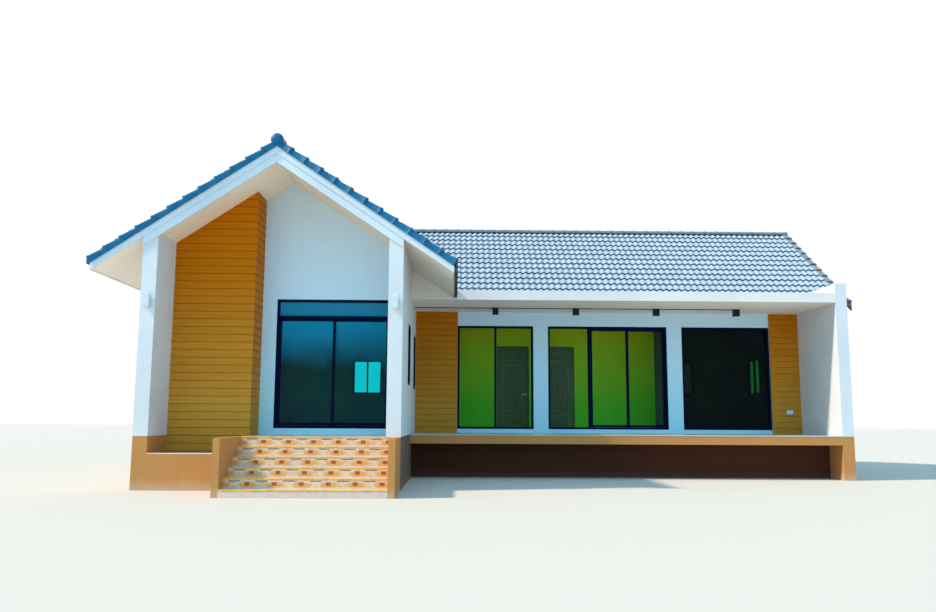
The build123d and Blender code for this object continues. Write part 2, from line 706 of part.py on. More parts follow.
def small_window_glass():
    panes = []
    inset = (WALL_T - GLASS_T) / 2
    for x, y, z in small_places():
        z = shrunk(z, SMALL_FRAME)
        if x[1] - x[0] > y[1] - y[0]:
            panes += [slab(half, shrunk(y, inset), z) for half in half_panes(x)]
        else:
            panes += [slab(shrunk(x, inset), half, z) for half in half_panes(y)]
    return panes


# Interior partition and doors
def partition_panels():
    first, second = INNER_DOOR_X
    spans = [(GABLE_W, first), (first + INNER_DOOR_W, second), (second + INNER_DOOR_W, GABLE_W + PARTITION_W)]
    return [slab(x, (PARTITION_Y, PARTITION_BACK), (FLOOR_Z, FLOOR_Z + INNER_DOOR_H)) for x in spans]


def partition_head():
    x = (GABLE_W, GABLE_W + PARTITION_W)
    return slab(x, (PARTITION_Y, PARTITION_BACK), (FLOOR_Z + INNER_DOOR_H, CEILING_Z))


def hinge_axis(number):
    """House X of an inner door's hinge pin, and the direction the leaf runs from it."""
    if number == 0:
        return INNER_DOOR_X[0] + DOOR_GAP / 2, 1
    return INNER_DOOR_X[1] + INNER_DOOR_W - DOOR_GAP / 2, -1


def hinge(number, side, levels):
    """One side of a door's hinges: a plate beside the pin and the knuckles at the given levels."""
    x, run = hinge_axis(number)
    near = x + side * run * (KNUCKLE_R + KNUCKLE_FIT)
    far = x + side * run * HINGE_PLATE
    plate_y = (PARTITION_BACK, PARTITION_BACK + HINGE_PLATE_T)
    solids = []
    for base in (HINGE_LOW, HINGE_HIGH):
        low = FLOOR_Z + base
        solid = slab(sorted((near, far)), plate_y, (low, low + KNUCKLE_COUNT * KNUCKLE_H))
        for level in levels:
            z = shrunk((low + level * KNUCKLE_H, low + (level + 1) * KNUCKLE_H), HINGE_SLIT)
            solid += slab(sorted((x, near)), plate_y, z)
            solid += Pos(x, PARTITION_BACK + KNUCKLE_R, sum(z) / 2) * Cylinder(KNUCKLE_R, z[1] - z[0])
        solids.append(solid)
    return solids


def inner_door(number):
    """A door leaf flush with the partition's back, with the middle knuckle of each of its hinges."""
    x = shrunk((INNER_DOOR_X[number], INNER_DOOR_X[number] + INNER_DOOR_W), DOOR_GAP)
    z = shrunk((FLOOR_Z, FLOOR_Z + INNER_DOOR_H), DOOR_GAP)
    door = slab(x, (PARTITION_BACK - INNER_DOOR_T, PARTITION_BACK), z)
    for part in hinge(number, 1, (1,)):
        door += part
    return door


def door_hinges():
    outer_levels = (0, KNUCKLE_COUNT - 1)
    return hinge(0, -1, outer_levels) + hinge(1, -1, outer_levels)


# Fittings
def lamp_places():
    return [GABLE_W + (k + 1) * LAMP_PITCH for k in range(LAMP_COUNT)]


def terrace_lamps():
    z = (CEILING_Z - LAMP_H, CEILING_Z)
    return [slab(around(x, LAMP_SIZE), around(LAMP_Y, LAMP_SIZE), z) for x in lamp_places()]


def lamp_conduit():
    places = lamp_places()
    half = LAMP_SIZE / 2
    starts = [GABLE_W] + [x + half for x in places[:-1]]
    ends = [x - half for x in places]
    z = (CEILING_Z - CONDUIT_H, CEILING_Z)
    return [slab(span, around(LAMP_Y, CONDUIT_W), z) for span in zip(starts, ends)]


def wall_lamps():
    low = FLOOR_Z + WALL_LAMP_LEVEL
    y = (GABLE_FRONT - WALL_LAMP_D, GABLE_FRONT)
    centres = (COLUMN_W / 2, GABLE_W - COLUMN_W / 2)
    return [slab(around(x, WALL_LAMP_W), y, (low, low + WALL_LAMP_H)) for x in centres]


def socket_box():
    low = FLOOR_Z + SOCKET_LEVEL
    y = (TERRACE_D - CLAD_T - SOCKET_D, TERRACE_D - CLAD_T)
    return slab(around(FIN_X - SOCKET_MARGIN, SOCKET_W), y, (low, low + SOCKET_H))


def export(name, solids):
    """Write one node: its solids are moved from house axes to the part's origin."""
    if not isinstance(solids, list):
        solids = [solids]
    placed = [Pos(-ORIGIN[0], -ORIGIN[1], -ORIGIN[2]) * solid for solid in solids]
    pieces = [piece for shape in placed for piece in shape.solids()]
    export_step(Compound(children=pieces) if len(pieces) > 1 else pieces[0], f"parts/{name}.step")


def main():
    os.makedirs("parts", exist_ok=True)
    porch_left, porch_right = porch_leaves()
    terrace_left, terrace_right = terrace_leaves()
    nodes = {
        "plinth_left": plinth_left(),
        "plinth_rear": plinth_rear(),
        "plinth_right": plinth_right(),
        "plinth_front": plinth_front(),
        "plinth_gable": plinth_gable(),
        "planter_wall": planter_wall(),
        "stair_wings": stair_wings(),
        "stair_steps": stair_steps(),
        "ground_floor": ground_floor(),
        "terrace_slab": terrace_slab(),
        "gable_columns": gable_columns(),
        "clad_box": clad_box(),
        "clad_panels": clad_panels(),
        "porch_wall_piers": porch_wall_piers(),
        "porch_wall_gable": porch_wall_gable(),
        "window_sills": window_sills(),
        "gable_right_wall": gable_right_wall(),
        "front_wall_piers": front_wall_piers(),
        "front_wall_head": front_wall_head(),
        "fin_wall": fin_wall(),
        "rear_wall": rear_wall(),
        "left_wall": left_wall(),
        "right_wall": right_wall(),
        "terrace_beam": terrace_beam(),
        "terrace_soffit": terrace_soffit(),
        "ceiling": ceiling(),
        "main_roof_front": main_roof_front(),
        "main_roof_front_left": main_roof_front_left(),
        "main_roof_rear": main_roof_rear(),
        "gable_roof_left": gable_roof_left(),
        "gable_roof_right": gable_roof_right(),
        "ridge_caps": ridge_caps(),
        "barge_boards": barge_boards(),
        "porch_soffit": porch_soffit(),
        "eave_soffits": eave_soffits(),
        "eave_fascias": eave_fascias(),
        "eave_gutters": eave_gutters(),
        "verge_boards": verge_boards(),
        "porch_door_frame": porch_door_frame(),
        "terrace_door_frame": terrace_door_frame(),
        "window_frames": window_frames(),
        "window_glass": window_glass(),
        "porch_leaf_left": leaf(*porch_left),
        "porch_leaf_right": leaf(*porch_right),
        "terrace_leaf_left": leaf(*terrace_left),
        "terrace_leaf_right": leaf(*terrace_right),
        "partition_panels": partition_panels(),
        "partition_head": partition_head(),
        "inner_door_left": inner_door(0),
        "inner_door_right": inner_door(1),
        "door_hinges": door_hinges(),
        "terrace_lamps": terrace_lamps(),
        "lamp_conduit": lamp_conduit(),
        "wall_lamps": wall_lamps(),
        "socket_box": socket_box(),
    }
    for name, solids in nodes.items():
        export(name, solids)


main()
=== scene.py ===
import math

import bmesh
import bpy
import numpy as np
from bpy.props import FloatProperty, FloatVectorProperty, PointerProperty
from mathutils import Matrix, Vector


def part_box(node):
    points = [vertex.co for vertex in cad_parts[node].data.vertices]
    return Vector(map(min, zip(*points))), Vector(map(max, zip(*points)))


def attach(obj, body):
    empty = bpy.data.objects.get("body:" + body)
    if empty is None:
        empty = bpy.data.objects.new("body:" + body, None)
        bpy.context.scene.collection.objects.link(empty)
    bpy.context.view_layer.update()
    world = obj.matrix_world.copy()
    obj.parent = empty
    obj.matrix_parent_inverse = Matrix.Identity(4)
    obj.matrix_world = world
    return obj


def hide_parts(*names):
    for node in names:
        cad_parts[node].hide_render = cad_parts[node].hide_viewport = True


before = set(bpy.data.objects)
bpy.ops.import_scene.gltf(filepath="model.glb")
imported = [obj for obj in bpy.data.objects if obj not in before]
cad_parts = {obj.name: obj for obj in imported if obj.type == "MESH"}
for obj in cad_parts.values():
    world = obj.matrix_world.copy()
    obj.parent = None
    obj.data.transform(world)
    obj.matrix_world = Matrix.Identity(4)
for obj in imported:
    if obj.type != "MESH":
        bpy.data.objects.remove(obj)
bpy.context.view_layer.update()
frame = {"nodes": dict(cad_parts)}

bl_info = {
    "name": "Bungalow",
    "version": (1, 0, 0),
    "blender": (4, 5, 0),
    "location": "3D View > Sidebar > Bungalow",
    "description": "Dresses the bungalow's frame with tiles, boards, glass, paint and a plain stage",
    "category": "Object",
}

BODY = "house"
BOX = {name: tuple(np.array(corner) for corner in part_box(name)) for name in frame["nodes"]}
MERGE = 1e-5


def low(node):
    """A node's lowest corner at rest."""
    return BOX[node][0]


def high(node):
    """A node's highest corner at rest."""
    return BOX[node][1]


def islands(node):
    """Boxes of a node's separate solids, from left to right. Each corner takes the lowest number among its
    own and its neighbours', until no number changes."""
    work = bmesh.new()
    work.from_mesh(frame["nodes"][node].data)
    bmesh.ops.remove_doubles(work, verts=work.verts, dist=MERGE)
    work.verts.index_update()
    points = np.array([vertex.co for vertex in work.verts], float)
    near, far = np.array([[vertex.index for vertex in edge.verts] for edge in work.edges]).T
    work.free()
    number = np.arange(len(points))
    changed = True
    while changed:
        lowest = number.copy()
        np.minimum.at(lowest, near, number[far])
        np.minimum.at(lowest, far, number[near])
        changed = (lowest != number).any()
        number = lowest
    solids = [points[number == first] for first in np.unique(number)]
    return sorted(((solid.min(0), solid.max(0)) for solid in solids), key=lambda pair: tuple(pair[0]))


# The roof's lines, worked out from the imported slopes
RIDGE_X = high("gable_roof_left")[0]
RIDGE_Y = low("main_roof_rear")[1]
RIDGE_Z = high("main_roof_rear")[2]
MAIN_RUN = high("main_roof_rear")[1] - RIDGE_Y
GABLE_RUN = RIDGE_X - low("gable_roof_left")[0]
MAIN_FALL = RIDGE_Z - low("main_roof_rear")[2]
GABLE_FALL = RIDGE_Z - low("gable_roof_left")[2]
TAN = (MAIN_FALL - GABLE_FALL) / (MAIN_RUN - GABLE_RUN)
PITCH = math.atan(TAN)
COS = math.cos(PITCH)
SIN = math.sin(PITCH)
SLAB = (MAIN_FALL - TAN * MAIN_RUN) * COS
MAIN_LENGTH = MAIN_RUN / COS
GABLE_LENGTH = GABLE_RUN / COS
ROOF_LEFT = low("main_roof_rear")[0]
ROOF_RIGHT = high("main_roof_rear")[0]
GABLE_FRONT = low("gable_roof_left")[1]

# Walls, floors and the stair
FLOOR_Z = high("ground_floor")[2]
CEILING_Z = low("terrace_soffit")[2]
WALL_FRONT = low("front_wall_piers")[1]
BOX_X = (low("planter_wall")[0], high("clad_box")[0])
BOX_Y = (low("clad_box")[1], high("clad_box")[1])
SOFFIT_Z = high("clad_box")[2]
STAIR_X = (low("stair_steps")[0], high("stair_steps")[0])
STAIR_Y = (low("stair_steps")[1], high("stair_steps")[1])
STEP_COUNT = 5
RISER = FLOOR_Z - high("stair_steps")[2]
FIRST_RISER = FLOOR_Z - STEP_COUNT * RISER
TREAD = (STAIR_Y[1] - STAIR_Y[0]) / STEP_COUNT

# The camera, as solved from the photograph
CAMERA_PLACE = (-1.2589, -20.2177, 1.2694)
CAMERA_TURN = (0.01582, 0.13497, 0.0052)
FOCAL_PIXELS = 840.57
PICTURE_WIDTH = 936


def colour_property(name, text, value):
    return FloatVectorProperty(name=name, description=text, subtype="COLOR", size=3, min=0, max=1,
                               default=value)


def length_property(name, text, value):
    return FloatProperty(name=name, description=text, unit="LENGTH", min=0, default=value)


def share_property(name, text, value):
    return FloatProperty(name=name, description=text, subtype="FACTOR", min=0, max=1, default=value)


def strength_property(name, text, value):
    return FloatProperty(name=name, description=text, min=0, default=value)


class RoofSettings(bpy.types.PropertyGroup):
    wave: length_property("Wave", "Width of one wave of a tile", 0.15)
    depth: length_property("Wave depth", "Height of a wave from trough to crest", 0.036)
    course: length_property("Course", "Length of a tile that shows", 0.302)
    verge_course: length_property("Verge course", "Length of a verge tile that shows", 0.345)
    step: length_property("Step", "How far a tile's nose stands over the next tile", 0.034)
    cap: length_property("Cap length", "Length of a ridge cap that shows", 0.33)
    # tile and verge are copies of one tile colour: tile is the pale sunlit copy on the field, verge the deep
    # blue shaded copy on the gable's verges and ridge
    tile: colour_property("Tile colour", "Colour of the field tiles", (0.34, 0.425, 0.50))
    # shade is the colour of the painted shade under the tiles' noses and the ridge caps
    shade: colour_property("Joint colour", "Colour under the noses", (0.035, 0.065, 0.11))
    verge: colour_property("Verge colour", "Colour of the verge tiles and ridge caps", (0.0, 0.115, 0.24))


class CladdingSettings(bpy.types.PropertyGroup):
    pitch: length_property("Board pitch", "Height of a board that shows", 0.1495)
    thick: length_property("Board thickness", "How far a board's lower edge stands out", 0.014)
    thin: length_property("Board top", "How far a board's upper edge stands out", 0.005)
    # The stain darkens and reddens towards the ceilings as painted shade and is lighter near the floor as
    # painted light; the dark colour serves the real grain and the painted shade under the laps
    stain: colour_property("Stain", "Colour of the stained boards under the ceilings", (0.58, 0.165, 0.0))
    lit_foot_stain: colour_property("Faded stain", "Colour of the boards near the floor", (0.62, 0.30, 0.04))
    grain_and_lap_shade: colour_property("Dark grain", "Colour of the grain and the laps", (0.36, 0.12, 0.004))


class StairSettings(bpy.types.PropertyGroup):
    motif: length_property("Motif pitch", "Distance between two motifs", 0.4455)
    start: length_property("Motif start", "Distance from the stair's right end to the last motif", 0.111)
    nosing: length_property("Nosing height", "Height of the nosing strip", 0.022)
    proud: length_property("Nosing proud", "How far the nosing stands out", 0.006)
    tile: length_property("Tile thickness", "Thickness of the wall and floor tiles", 0.008)
    cream: colour_property("Cream", "Ground colour of the tiles", (0.84, 0.60, 0.38))
    orange: colour_property("Orange", "Colour of the motif's mound", (0.80, 0.28, 0.03))
    brick: colour_property("Brick", "Colour of the motif's square", (0.26, 0.045, 0.004))
    strip: colour_property("Nosing colour", "Colour of the nosing strips", (0.86, 0.42, 0.04))


class DoorSettings(bpy.types.PropertyGroup):
    rail: length_property("Rail", "Width of a sliding leaf's rails", 0.043)
    gasket: length_property("Gasket", "Width of the gasket inside a leaf's rails", 0.009)
    stile: length_property("Stile", "Width of an inner door's stiles", 0.15)
    moulding: length_property("Moulding", "Width of the moulding round an inner door's panels", 0.022)


class PaintSettings(bpy.types.PropertyGroup):
    # One white paint in lit and shaded copies. white and white_top are the shaded copy, tinted cyan as
    # painted sky shade and most at the foot; open_white, beam and trim are darker copies held down for faces
    # in the sun.
    white: colour_property("White", "Paint at the foot of the walls", (0.48, 0.86, 1.0))
    white_top: colour_property("White top", "Paint of the walls under the ceilings", (0.66, 0.83, 0.95))
    open_white: colour_property("Open white", "Sunned paint of the columns and the fin", (0.72, 0.73, 0.74))
    beam: colour_property("Beam", "Paint of the terrace's beam", (0.84, 0.78, 0.75))
    trim: colour_property("Trim", "Paint of the roof's boards", (0.68, 0.75, 0.79))
    base: colour_property("Base", "Paint of the plinth and the stair's walls", (0.55, 0.245, 0.07))
    # cream, soffit and eave are raised and warmed beyond the paint's own colour, as painted bounce light from
    # the ground
    cream: colour_property("Cream", "Paint of the porch ceiling", (1.0, 0.85, 0.68))
    soffit: colour_property("Soffit", "Paint of the terrace ceiling", (0.95, 0.87, 0.80))
    eave: colour_property("Eave", "Paint under the eaves", (0.92, 0.82, 0.70))
    # void and side are the base paint made dark as painted shade: in the void under the terrace and on the
    # plinth beside it
    void: colour_property("Void", "Paint in the void under the terrace", (0.075, 0.022, 0.009))
    side: colour_property("Side wall", "Paint of the plinth beside the void", (0.16, 0.10, 0.075))
    gutter: colour_property("Gutter", "Paint of the gutters", (0.07, 0.045, 0.033))
    frame: colour_property("Frame", "Finish of the window and door frames", (0.0, 0.005, 0.03))
    partition: colour_property("Partition", "Paint of the inner partition's foot", (0.13, 0.85, 0.03))
    partition_top: colour_property("Partition top", "Paint of the inner partition under the ceiling",
                                   (0.66, 0.74, 0.0))
    door: colour_property("Inner door", "Stain of the inner doors", (0.026, 0.10, 0.026))


class GlassSettings(bpy.types.PropertyGroup):
    tint: colour_property("Tint", "Colour of the terrace's glass", (0.004, 0.02, 0.012))
    # porch and porch_foot paint the sky's reflection into the porch door's glass: bright blue at the top,
    # dark at the foot
    porch: colour_property("Porch glass", "Colour at the top of the porch door's glass", (0.0, 0.50, 0.88))
    porch_foot: colour_property("Porch glass foot", "Colour at the foot of the porch door's glass",
                                (0.0, 0.016, 0.025))
    clear: share_property("Clear glass", "How much of the light the terrace's glass stops", 0.06)
    # dense sets how far the dark glass hides the rooms behind it, as painted shade
    dense: share_property("Dense glass", "How much of the light the dark room's glass stops", 0.70)
    mirror: share_property("Porch opacity", "How much of the light the porch's glass stops", 0.25)


class StageSettings(bpy.types.PropertyGroup):
    sun: strength_property("Sun", "Strength of the key light", 4.3)
    sky: strength_property("Sky", "Strength of the even light", 0.86)
    fill: strength_property("Fill", "Strength of the wide light from the front", 1.5)
    focal: strength_property("Focal length", "Focal length over the picture's width",
                             FOCAL_PIXELS / PICTURE_WIDTH)


# Shapes as whole arrays
CUBE = np.array([[0, 0, 0], [1, 0, 0], [1, 1, 0], [0, 1, 0], [0, 0, 1], [1, 0, 1], [1, 1, 1], [0, 1, 1]])
SIDES = np.array([[0, 3, 2, 1], [4, 5, 6, 7], [0, 1, 5, 4], [1, 2, 6, 5], [2, 3, 7, 6], [3, 0, 4, 7]])


def points_of(x, y, z):
    """Places whose x, y and z are numbers or rows of numbers."""
    return np.stack(np.broadcast_arrays(x, y, z), axis=-1)


def upright(x, y, radius, bottom, top, count):
    """A round bar on end, as one solid of two level circles with count points each."""
    turn = np.arange(count) * 2 * np.pi / count
    levels = np.array([[bottom], [top]])
    return points_of(x + radius * np.cos(turn), y + radius * np.sin(turn), levels)[None]


class Shape:
    """Collects the corners and faces of one piece."""

    def __init__(self):
        self.corners = []
        self.places = []
        self.faces = []
        self.marks = []
        self.start = 0
        self.count = 0

    def add(self, corners, *faces, mark=0, places=None):
        """Adds corners (n, 3) with their pattern places (n, 2), and faces between them."""
        corners = np.asarray(corners, float).reshape(-1, 3)
        self.corners.append(corners)
        self.places.append(np.zeros((len(corners), 2)) if places is None else np.reshape(places, (-1, 2)))
        self.start = self.count
        self.count += len(corners)
        self.cover(*faces, mark=mark)

    def cover(self, *faces, mark=0):
        """Adds faces on the corners that were added last, which count from 0. Each item is one face or an
        array of like ones, and mark is their material."""
        for face in faces:
            rows = (np.atleast_2d(face) + self.start).tolist()
            self.faces.extend(rows)
            self.marks.extend([mark] * len(rows))

    def boxes(self, lows, highs, mark=0, places=None):
        """Adds boxes between pairs of corners: corner = low + (high - low) times a corner of a unit cube."""
        lows = np.atleast_2d(lows)
        highs = np.atleast_2d(highs)
        corners = lows[:, None] + (highs - lows)[:, None] * CUBE
        faces = SIDES + len(CUBE) * np.arange(len(lows))[:, None, None]
        self.add(corners, faces.reshape(-1, 4), mark=mark, places=places)

    def tubes(self, solids, mark=0):
        """Adds solids through closed sections (solids, stations, points, 3), with caps at both ends."""
        stations, points = solids.shape[1:3]
        ring = np.arange(points)
        turn = (ring + 1) % points
        first = np.arange(stations - 1)[:, None] * points
        walls = np.stack([first + ring, first + turn, first + points + turn, first + points + ring], axis=2)
        for solid in solids:
            self.add(solid, walls.reshape(-1, 4), ring[::-1], ring + (stations - 1) * points, mark=mark)

    def ring(self, a, b, width, axis, mark=0):
        """Adds a mitred frame between two corners, open along an axis: its four corners are drawn in by the
        width, at the front and the back."""
        plane = [i for i in range(3) if i != axis]
        outline = np.array([[0, 0], [1, 0], [1, 1], [0, 1]])
        start = np.array(a)[plane]
        outer = start + outline * (np.array(b)[plane] - start)
        inner = outer + (1 - 2 * outline) * width
        rings = np.zeros((4, 4, 3))
        rings[:, :, plane] = np.array([outer, outer, inner, inner])
        rings[:, :, axis] = np.array([[a[axis]], [b[axis]], [b[axis]], [a[axis]]])
        corner = np.arange(4)
        after = (corner + 1) % 4
        level = corner[:, None] * 4
        up = after[:, None] * 4
        faces = np.stack([level + corner, level + after, up + after, up + corner], axis=2)
        self.add(rings, faces.reshape(-1, 4), mark=mark)

    def build(self, name, finishes, body=BODY, slot=None, replaces=(), bevel=0.0, smooth=None, merge=MERGE):
        """Makes the object: doubles merged, normals outwards, its finishes added, and the frame's pieces that
        it replaces hidden.
        """
        mesh = bpy.data.meshes.new(name)
        mesh.from_pydata(np.concatenate(self.corners).tolist(), [], self.faces)
        mesh.polygons.foreach_set("material_index", np.array(self.marks, np.int32))
        layer = mesh.uv_layers.new(name="Places")
        loops = np.zeros(len(mesh.loops), np.int32)
        mesh.loops.foreach_get("vertex_index", loops)
        layer.data.foreach_set("uv", np.concatenate(self.places)[loops].ravel())
        work = bmesh.new()
        work.from_mesh(mesh)
        bmesh.ops.remove_doubles(work, verts=work.verts, dist=merge)
        bmesh.ops.recalc_face_normals(work, faces=work.faces)
        work.to_mesh(mesh)
        work.free()
        for finish in finishes:
            mesh.materials.append(material(finish))
        piece = bpy.data.objects.new(name, mesh)
        bpy.context.scene.collection.objects.link(piece)
        if bevel:
            edge = piece.modifiers.new("Edges", "BEVEL")
            edge.width = bevel
            edge.segments = 2
            edge.limit_method = "ANGLE"
        if smooth:
            mesh.shade_smooth()
            mesh.set_sharp_from_angle(angle=math.radians(smooth))
        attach(piece, body)
        if replaces:
            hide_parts(*replaces)
        return piece


# Shader graphs
def maths(operation, turned=False):
    """A method that adds one Math node on its wire and the values after it, or before it where turned."""
    def method(wire, *others):
        values = (*others, wire) if turned else (wire, *others)
        return wire.graph.node("ShaderNodeMath", {"operation": operation}, dict(enumerate(values)))
    return method


class Wire:
    """A shader socket that takes part in sums: an expression adds its Math nodes."""

    def __init__(self, graph, socket):
        self.graph = graph
        self.socket = socket

    __add__ = __radd__ = maths("ADD")
    __sub__ = maths("SUBTRACT")
    __rsub__ = maths("SUBTRACT", turned=True)
    __mul__ = __rmul__ = maths("MULTIPLY")
    __truediv__ = maths("DIVIDE")
    __gt__ = maths("GREATER_THAN")
    __lt__ = maths("LESS_THAN")
    floor = maths("FLOOR")
    wrapped = maths("FRACT")
    size = maths("ABSOLUTE")
    most = maths("MAXIMUM")
    least = maths("MINIMUM")

    def rise(self, start, end):
        """0 before start, 1 after end, and an even rise between them."""
        return self.graph.node("ShaderNodeMapRange", {"clamp": True}, {0: self, 1: start, 2: end})


class Graph:
    """The nodes of a material or of the sky, added one by one."""

    def __init__(self, name, sky=False):
        self.owner = (bpy.data.worlds if sky else bpy.data.materials).new(name)
        self.owner.use_nodes = True
        self.tree = self.owner.node_tree
        self.tree.nodes.clear()
        self.output = self.tree.nodes.new("ShaderNodeOutputWorld" if sky else "ShaderNodeOutputMaterial")

    def feed(self, socket, value):
        """Links a wire to a socket, or sets the socket's own value."""
        if isinstance(value, Wire):
            self.tree.links.new(value.socket, socket)
        elif socket.type == "RGBA":
            socket.default_value = (*value[:3], 1)
        else:
            socket.default_value = value

    def node(self, kind, settings=None, inputs=None, output=0):
        """Adds a node: its settings first, then the values or links of its sockets. It gives a wire from one
        output, or from each where output is None."""
        made = self.tree.nodes.new(kind)
        for key, value in (settings or {}).items():
            setattr(made, key, value)
        for key, value in (inputs or {}).items():
            self.feed(made.inputs[key], value)
        if output is None:
            return [Wire(self, socket) for socket in made.outputs]
        return Wire(self, made.outputs[output])

    def place(self):
        """Object coordinates, which are the part's own metres."""
        return self.node("ShaderNodeTexCoord", output="Object")

    def tile_place(self):
        """A tiled piece's own places: across and along, counted in tiles, and a third that is 0."""
        return self.parts(self.node("ShaderNodeUVMap", {"uv_map": "Places"}))

    def parts(self, vector):
        """The three numbers of a vector."""
        return self.node("ShaderNodeSeparateXYZ", None, {0: vector}, output=None)

    def joined(self, x, y, z):
        return self.node("ShaderNodeCombineXYZ", None, {0: x, 1: y, 2: z})

    def stretched(self, vector, scale):
        return self.node("ShaderNodeVectorMath", {"operation": "MULTIPLY"}, {0: vector, 1: scale})

    def noise(self, vector, scale, detail=3.0, rough=0.5):
        return self.node("ShaderNodeTexNoise", None,
                         {"Vector": vector, "Scale": scale, "Detail": detail, "Roughness": rough})

    def dice(self, x, y, z):
        """One random number for each whole-numbered place."""
        place = self.joined(x, y, z)
        return self.node("ShaderNodeTexWhiteNoise", {"noise_dimensions": "3D"}, {"Vector": place})

    def blend(self, share, first, second):
        """A colour between two. A Mix node's colours are its sockets 6 and 7 and its output 2."""
        return self.node("ShaderNodeMix", {"data_type": "RGBA"}, {0: share, 6: first, 7: second}, output=2)

    def layered(self, tone, *layers):
        """A colour with others laid over it in turn, each by its share."""
        for share, colour in layers:
            tone = self.blend(share, tone, colour)
        return tone

    def bump(self, height, strength, distance):
        return self.node("ShaderNodeBump", None,
                         {"Strength": strength, "Distance": distance, "Height": height})

    def finish(self, **values):
        """Adds the shader, sets its sockets by name, with spaces for underscores, and gives the material."""
        shader = self.tree.nodes.new("ShaderNodeBsdfPrincipled")
        for key, value in values.items():
            self.feed(shader.inputs[key.replace("_", " ")], value)
        self.tree.links.new(shader.outputs[0], self.output.inputs["Surface"])
        return self.owner


def scaled(colour, share):
    return tuple(min(1.0, channel * share) for channel in colour)


def paint_finish(name, colour, rough=0.8, dust=None, dust_top=0.0, soot=0.0, top=None, levels=(0.0, 1.0)):
    """Masonry paint: slow cloudy variation, fine grit, and a dusty band that fades above dust_top. With a top
    colour it turns to that one between the two levels."""
    graph = Graph(name)
    place = graph.place()
    clouds = graph.noise(place, 0.9, 4.0, 0.55)
    grit = graph.noise(place, 90.0, 3.0, 0.6)
    tone = graph.blend(clouds.rise(0.3, 0.7), scaled(colour, 0.93), scaled(colour, 1.04))
    if top:
        tone = graph.blend(graph.parts(place)[2].rise(*levels), tone, top)
    tone = graph.blend(grit.rise(0.35, 0.75) * 0.12, tone, scaled(colour, 0.8))
    if soot:
        streaks = graph.noise(graph.stretched(place, (6.0, 6.0, 0.5)), 1.0, 4.0, 0.6)
        tone = graph.blend(streaks.rise(0.55, 0.8) * soot, tone, scaled(colour, 0.6))
    if dust:
        edge = graph.noise(place, 5.0, 4.0, 0.6) * 0.12
        band = 1 - (graph.parts(place)[2] + edge).rise(dust_top * 0.3, dust_top + 0.1)
        tone = graph.blend(band * 0.55, tone, dust)
    relief = graph.bump(grit + graph.noise(place, 14.0, 3.0, 0.5) * 0.6, 0.18, 0.003)
    return graph.finish(Base_Color=tone, Roughness=rough, Normal=relief, Specular_IOR_Level=0.3)


def tile_finish(name, colour, shade, gloss=0.45):
    """Roof tile: one tone for each tile, painted shade under the noses and under the ridge caps, and fine
    grit, in the tiles' places.
    """
    graph = Graph(name)
    across, down, _ = graph.tile_place()
    tile = graph.dice((across + 0.001).floor(), (down + 0.001).floor(), 3.0)
    place = graph.place()
    cloud = graph.noise(place, 3.0, 4.0, 0.6)
    course = (down + 0.0005).wrapped()
    # Painted shade: a dark band at each course's head under the nose above, one at each nose's end, and a
    # longer one on the first course under the ridge caps
    joint = (1 - course.rise(0.03, 0.13)).most(course.rise(0.972, 0.985)).most(1 - down.rise(0.34, 0.40))
    tone = graph.layered(graph.blend(tile, scaled(colour, 0.95), scaled(colour, 1.05)),
                         (cloud.rise(0.45, 0.8) * 0.35, scaled(colour, 0.75)),
                         (joint * 0.92, shade))
    relief = graph.bump(graph.noise(place, 160.0, 2.0, 0.6), 0.25, 0.002)
    rough = graph.noise(place, 7.0, 3.0, 0.5) * 0.2 + (gloss - 0.1)
    return graph.finish(Base_Color=tone, Roughness=rough, Normal=relief, Specular_IOR_Level=0.5)


def glaze_finish(name, colour, gloss=0.35):
    """Glazed trim tile: one deep colour with a soft cloud and a light grit."""
    graph = Graph(name)
    place = graph.place()
    cloud = graph.noise(place, 6.0, 4.0, 0.6)
    tone = graph.blend(cloud.rise(0.3, 0.75), scaled(colour, 1.25), scaled(colour, 0.7))
    relief = graph.bump(graph.noise(place, 150.0, 2.0, 0.6), 0.2, 0.002)
    return graph.finish(Base_Color=tone, Roughness=cloud * 0.25 + (gloss - 0.1), Specular_IOR_Level=0.2,
                        Normal=relief)


def board_finish(name, boards, start, levels):
    """Stained boards: long fine grain, one tone a board, lighter below and darker under the ceilings as
    painted light and shade, and a painted shade line under each lap.
    """
    graph = Graph(name)
    x, y, z = graph.parts(graph.place())
    count = (z - start) / boards.pitch
    board = count.floor()
    height = count.wrapped()
    along = x + y
    grain = graph.noise(graph.joined(along * 1.4, board * 3.7, z * 75.0), 1.0, 5.0, 0.62)
    fleck = graph.noise(graph.joined(along * 9.0, board * 1.3, z * 260.0), 1.0, 3.0, 0.55)
    # Painted shade: a dark line at each board's foot and top, where one board laps over the next
    lap_shade_mask = (1 - height.rise(0.0, 0.05)).most(height.rise(0.92, 0.98))
    # The stain runs from its lighter copy at the floor to its darker copy under the ceilings: painted light
    # and shade
    tone = graph.layered(graph.blend((z + (grain - 0.5) * 0.8).rise(*levels), boards.lit_foot_stain, boards.stain),
                         (graph.dice(board, 1.0, 7.0) * 0.12, boards.grain_and_lap_shade),
                         (grain.rise(0.42, 0.78) * 0.45, boards.grain_and_lap_shade),
                         (fleck.rise(0.55, 0.8) * 0.35, scaled(boards.grain_and_lap_shade, 0.8)),
                         (lap_shade_mask * 0.5, scaled(boards.grain_and_lap_shade, 0.3)))
    relief = graph.bump(grain + fleck * 0.5, 0.3, 0.002)
    return graph.finish(Base_Color=tone, Roughness=grain * 0.2 + 0.45, Normal=relief, Specular_IOR_Level=0.05)


# Colours of the riser tiles besides the panel's
CLAY = (0.72, 0.36, 0.22)
UMBER = (0.30, 0.14, 0.10)
AMBER = (0.85, 0.50, 0.10)
SLATE = (0.12, 0.09, 0.14)
# A cool grey for the painted shade along the risers' feet
RISER_FOOT_SHADE = (0.66, 0.56, 0.58)
SAND = (0.72, 0.57, 0.48)
GROUT = (0.35, 0.30, 0.26)


